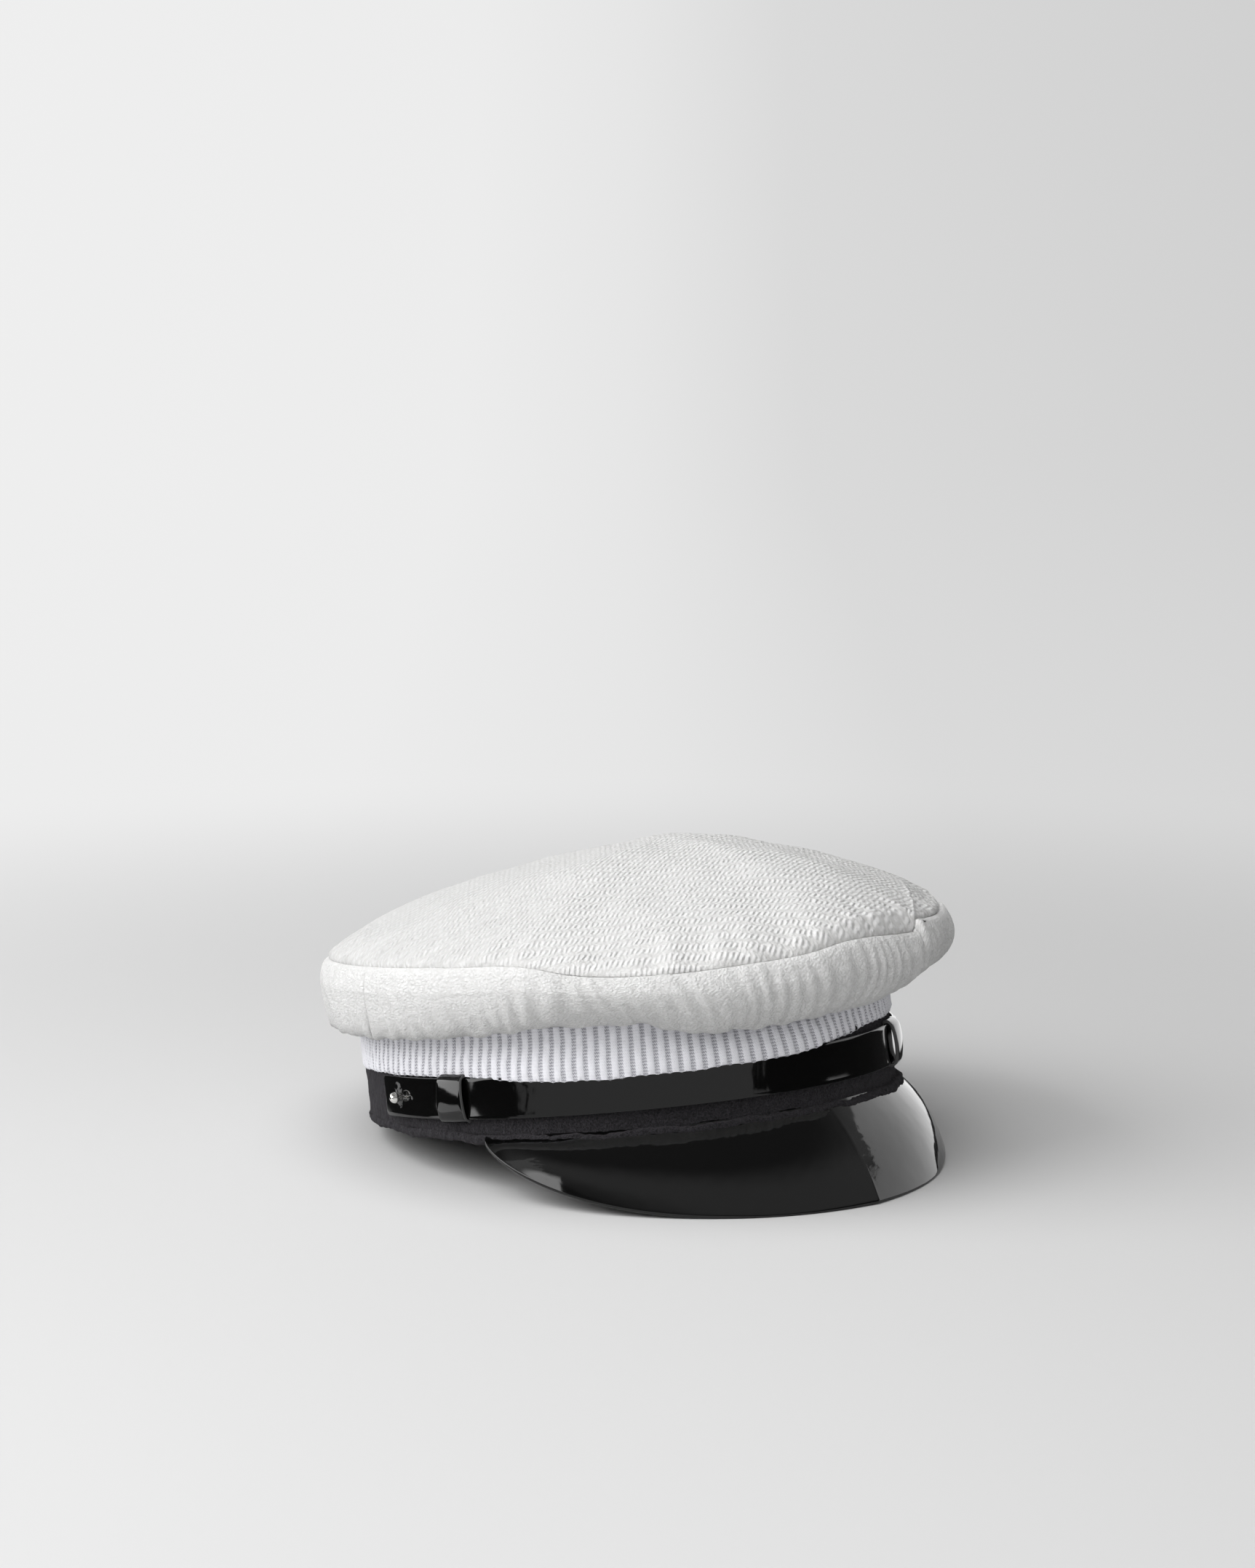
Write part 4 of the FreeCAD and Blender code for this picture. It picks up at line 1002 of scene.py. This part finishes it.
def build_stud(name, node, heading):
    """A ball stud turned about the band's outward normal: shank, foot, neck and ball."""
    ball, neck = 2.0, 1.15
    arc = np.linspace(math.pi - math.asin(neck / ball), 0, 40)[:-1]
    profile = [(neck, -3.0), (neck, 0.1), (2.7, 0.1), (2.9, 0.25), (2.9, 0.65), (2.7, 0.8)]
    profile += [(neck + 0.2, 0.8), (neck, 1.0)]
    profile += [(ball * math.sin(a), 4.5 + ball * math.cos(a)) for a in arc]
    radius, height = np.array(profile).T[..., None, None]
    turn = np.linspace(0, math.tau, 72, endpoint=False)
    out, along = spokes(heading)
    hub = band_point(heading, 0.0, STRAP_MIDDLE)
    ring = np.stack([np.cos(turn), np.sin(turn)], -1) @ [along, (0, 0, 1)]
    points = hub + height * out + radius * ring
    verts = np.concatenate([points.reshape(-1, 3), [hub - 3.0 * out, hub + 6.5 * out]])
    count, rows = len(turn), len(radius)
    faces = grid_faces(rows, count, True)
    for i in range(count):
        k = (i + 1) % count
        faces += [[i, rows * count, k], [(rows - 1) * count + i, (rows - 1) * count + k, rows * count + 1]]
    piece = finish_mesh(name, (verts, faces), METAL, node)
    piece.data.set_sharp_from_angle(angle=math.radians(50))


def build_fittings():
    build_strap("upper_strap", "chin_strap_upper", -TAB_HEADING, UPPER_END, UPPER_INNER, -1)
    build_strap("under_strap", "chin_strap_under", UNDER_END, TAB_HEADING, UNDER_INNER, 1)
    build_keeper("right_loop", "keeper_right", "right_keeper", RIGHT_KEEPER, (0.0, 0.0), 0.0)
    build_keeper("left_loop", "keeper_left", "left_keeper", LEFT_KEEPER, (0.0, -0.12), 0.045)
    build_stud("right_ball_stud", "stud_right", -STUD_HEADING)
    build_stud("left_ball_stud", "stud_left", STUD_HEADING)


def dress_nodes():
    """Gives the nodes that stay as packed their finish."""
    for node, material in (("band_stiffener", BUCKRAM), ("sweatband", SWEAT), ("stud_washers", METAL)):
        for slot in frame["nodes"][node].material_slots:
            slot.material = material


# ---- stage

GLOW_CENTRE = (0.0, 0.0, 0.05)
CAMERA_RIGHT = (0.749, -0.663, 0.0)
WORLD_LIGHT = 0.235
WORLD_SHOWN = 0.8


def glow(n, direction):
    """Painted reflections that glossy things see in a direction from the cap: cards and a soft box in the
    dark, which are not in the scene.
    """
    place = n.split(direction)
    level = n.vector("LENGTH", n.vector("MULTIPLY", direction, (1, 1, 0)))
    heading = n.math("DEGREES", n.math("ARCTAN2", place["X"], place["Y"] * -1.0))
    rise = n.math("DEGREES", n.math("ARCTAN2", place["Z"], level))
    edge = n.noise(n.vector("NORMALIZE", direction), 15.0, 3.0, 0.7) * 30.0 + (heading - 15.0)
    # painted reflections of the ceiling, a low card in front, and a card to the left with a stepped foot and
    # a slanting top
    ceiling = n.step(rise, 18.0, 34.0, 0.035, 0.42) * n.step(rise, 38.0, 56.0, 1.0, 0.25)
    front = n.window(edge, -87.0, 2.0, 0.8) * n.step(rise, 10.0, 13.0, 0.56, 0.0)
    above = rise - (n.step(heading, 82.0, 85.0) * -14.0 + 1.0)
    over = rise - n.math("MINIMUM", edge - 39.5, 39.0)
    left = n.window(edge, 42.0, 176.0, 2.0) * n.step(above, -1.0, 1.0) * n.step(over, -1.0, 1.0, 1.5, 0.0)
    # painted reflections of the soft box behind to the right, which has a slanting foot, and two slanting
    # cards beside it
    foot = rise - (heading * -0.367 - 49.8)
    reach = heading + n.step(rise, 5.0, 10.0, 0.0, -18.0)
    box = n.step(foot, -0.6, 0.6) * n.step(rise, 24.0, 30.0, 3.4, 0.0)
    box = n.window(reach, -190.0, -104.0, 0.7) * box
    over = rise - (heading * -0.2 - 35.9)
    ground = n.window(heading, -114.5, -80.0, 0.5) * n.step(over, -0.3, 0.3, 1.6, 0.0)
    over = rise - (edge * -0.86 - 55.0)
    strip = n.window(heading, -118.0, -84.0, 1.0) * n.step(over, -1.0, 1.0, 0.5, 0.0)
    strip = strip * n.step(rise, 14.0, 16.0)
    return box + ground + strip + n.math("MAXIMUM", n.math("MAXIMUM", ceiling, front), left)


def floor_material():
    """Pale paper that shows the cap's shadow near it. Further out the camera sees a pale background with
    painted light, lighter to the left, and glossy rays see painted reflections.
    """
    n = Nodes("pale_floor")
    n.shade(Base_Color=(*grey(0.57), 1.0), Roughness=0.9, Specular_IOR_Level=0.1)
    path = n.add("ShaderNodeLightPath")
    point = n.object_point()
    away = n.vector("LENGTH", point)
    # the far floor's colour for the camera runs from light on the left to darker on the right: painted light
    # falloff
    side = n.step(n.vector("DOT_PRODUCT", point, CAMERA_RIGHT), -1.2, 1.2)
    stops = ((0.0, 0.87), (0.4, 0.84), (0.5, 0.79), (0.6, 0.70), (1.0, 0.60))
    ground = n.ramp(side, [(place, grey(value)) for place, value in stops])
    shown = n.add("ShaderNodeEmission", {"Color": ground})
    # further out, glossy rays see the floor glow with painted reflections of cards and a soft box
    mirrored = n.add("ShaderNodeEmission", {"Strength": glow(n, n.vector("SUBTRACT", point, GLOW_CENTRE))})
    surface = Output(n, n.shader.outputs[0])
    rays = (("Is Camera Ray", shown, 0.25, 0.8), ("Is Glossy Ray", mirrored, 0.147, 0.153))
    for ray, light, near, far in rays:
        mask = path[ray] * n.step(away, near, far)
        surface = n.add("ShaderNodeMixShader", {0: mask, 1: surface, 2: light})
    n.set(n.tree.nodes["Material Output"], "Surface", surface)
    return n.material


def build_stage():
    """A round pale floor that sweeps up into a low wall all round."""
    flat, bend, wall = 2.3, 0.8, 0.5
    turn = np.linspace(0, math.pi / 2, 12)
    radius = np.concatenate([[0.02, flat / 2], flat + bend * np.sin(turn), [flat + bend]])[:, None]
    height = np.concatenate([[0.0, 0.0], bend * (1 - np.cos(turn)), [bend + wall]])[:, None]
    angle = np.linspace(0, math.tau, 96, endpoint=False)
    grid = np.stack([radius * np.cos(angle), radius * np.sin(angle), height + 0 * angle], -1)
    faces = [*grid_faces(*grid.shape[:2], True), list(range(len(angle)))]
    floor = add_mesh("floor", grid, faces)
    floor.data.shade_smooth()
    floor.data.materials.append(floor_material())


def area_light(name, heading, elevation, distance, size, power):
    """A soft lamp that looks at the cap."""
    data = bpy.data.lights.new(name, "AREA")
    data.shape = "RECTANGLE"
    data.size, data.size_y = size
    data.energy = power
    lamp = add_object(name, data)
    lamp.visible_glossy = False
    lamp.location = Vector(spokes(heading, elevation)[0]) * distance
    lamp.rotation_euler = (-lamp.location).to_track_quat("-Z", "Y").to_euler()


def build_world():
    """Plain soft light all round; glossy things see painted reflections of cards and a soft box in it, and
    the camera pale paper.
    """
    n = Nodes("studio", world=True)
    path = n.add("ShaderNodeLightPath")
    seen = path["Is Camera Ray"] * (WORLD_SHOWN - WORLD_LIGHT) + WORLD_LIGHT
    shine = path["Is Glossy Ray"] * glow(n, n.add("ShaderNodeTexCoord")["Generated"])
    n.shade(Color=(1.0, 1.0, 1.0, 1.0), Strength=(1.0 - path["Is Glossy Ray"]) * seen + shine)
    bpy.context.scene.world = n.material


def build_lights():
    area_light("key", -112, 37, 1.7, (1.7, 1.3), 27.5)
    area_light("top", -80, 77, 1.6, (1.5, 1.5), 14.5)
    area_light("front", -48, 28, 1.7, (1.8, 1.2), 8.5)
    build_world()


# ---- camera

VIEW_HEADING = -41.51
VIEW_RISE = 9.55
VIEW_DISTANCE = 1.59
VIEW_SHIFT = (-0.00155, 0.07942)
SENSOR = 24.0
LENS = 83.617


def build_camera():
    """Looks at the cap from its front and right, a little from above, with the cap low in the picture."""
    away, right = (Vector(spoke) for spoke in spokes(VIEW_HEADING, VIEW_RISE))
    up = away.cross(right)
    target = Vector((0, CAP[1, 3], 0.05)) + right * VIEW_SHIFT[0] + up * VIEW_SHIFT[1]
    data = bpy.data.cameras.new("camera")
    data.sensor_fit = "HORIZONTAL"
    data.sensor_width = SENSOR
    data.lens = LENS
    camera = add_object("camera", data)
    turn = Matrix((right, up, away)).transposed().to_4x4()
    camera.matrix_world = Matrix.Translation(target + away * VIEW_DISTANCE) @ turn
    bpy.context.scene.camera = camera


build_camera()
build_stage()
build_lights()
build_crown()
build_rib()
build_felt()
build_binding()
build_visor()
build_fittings()
dress_nodes()
bpy.context.scene.view_settings.view_transform = "Standard"
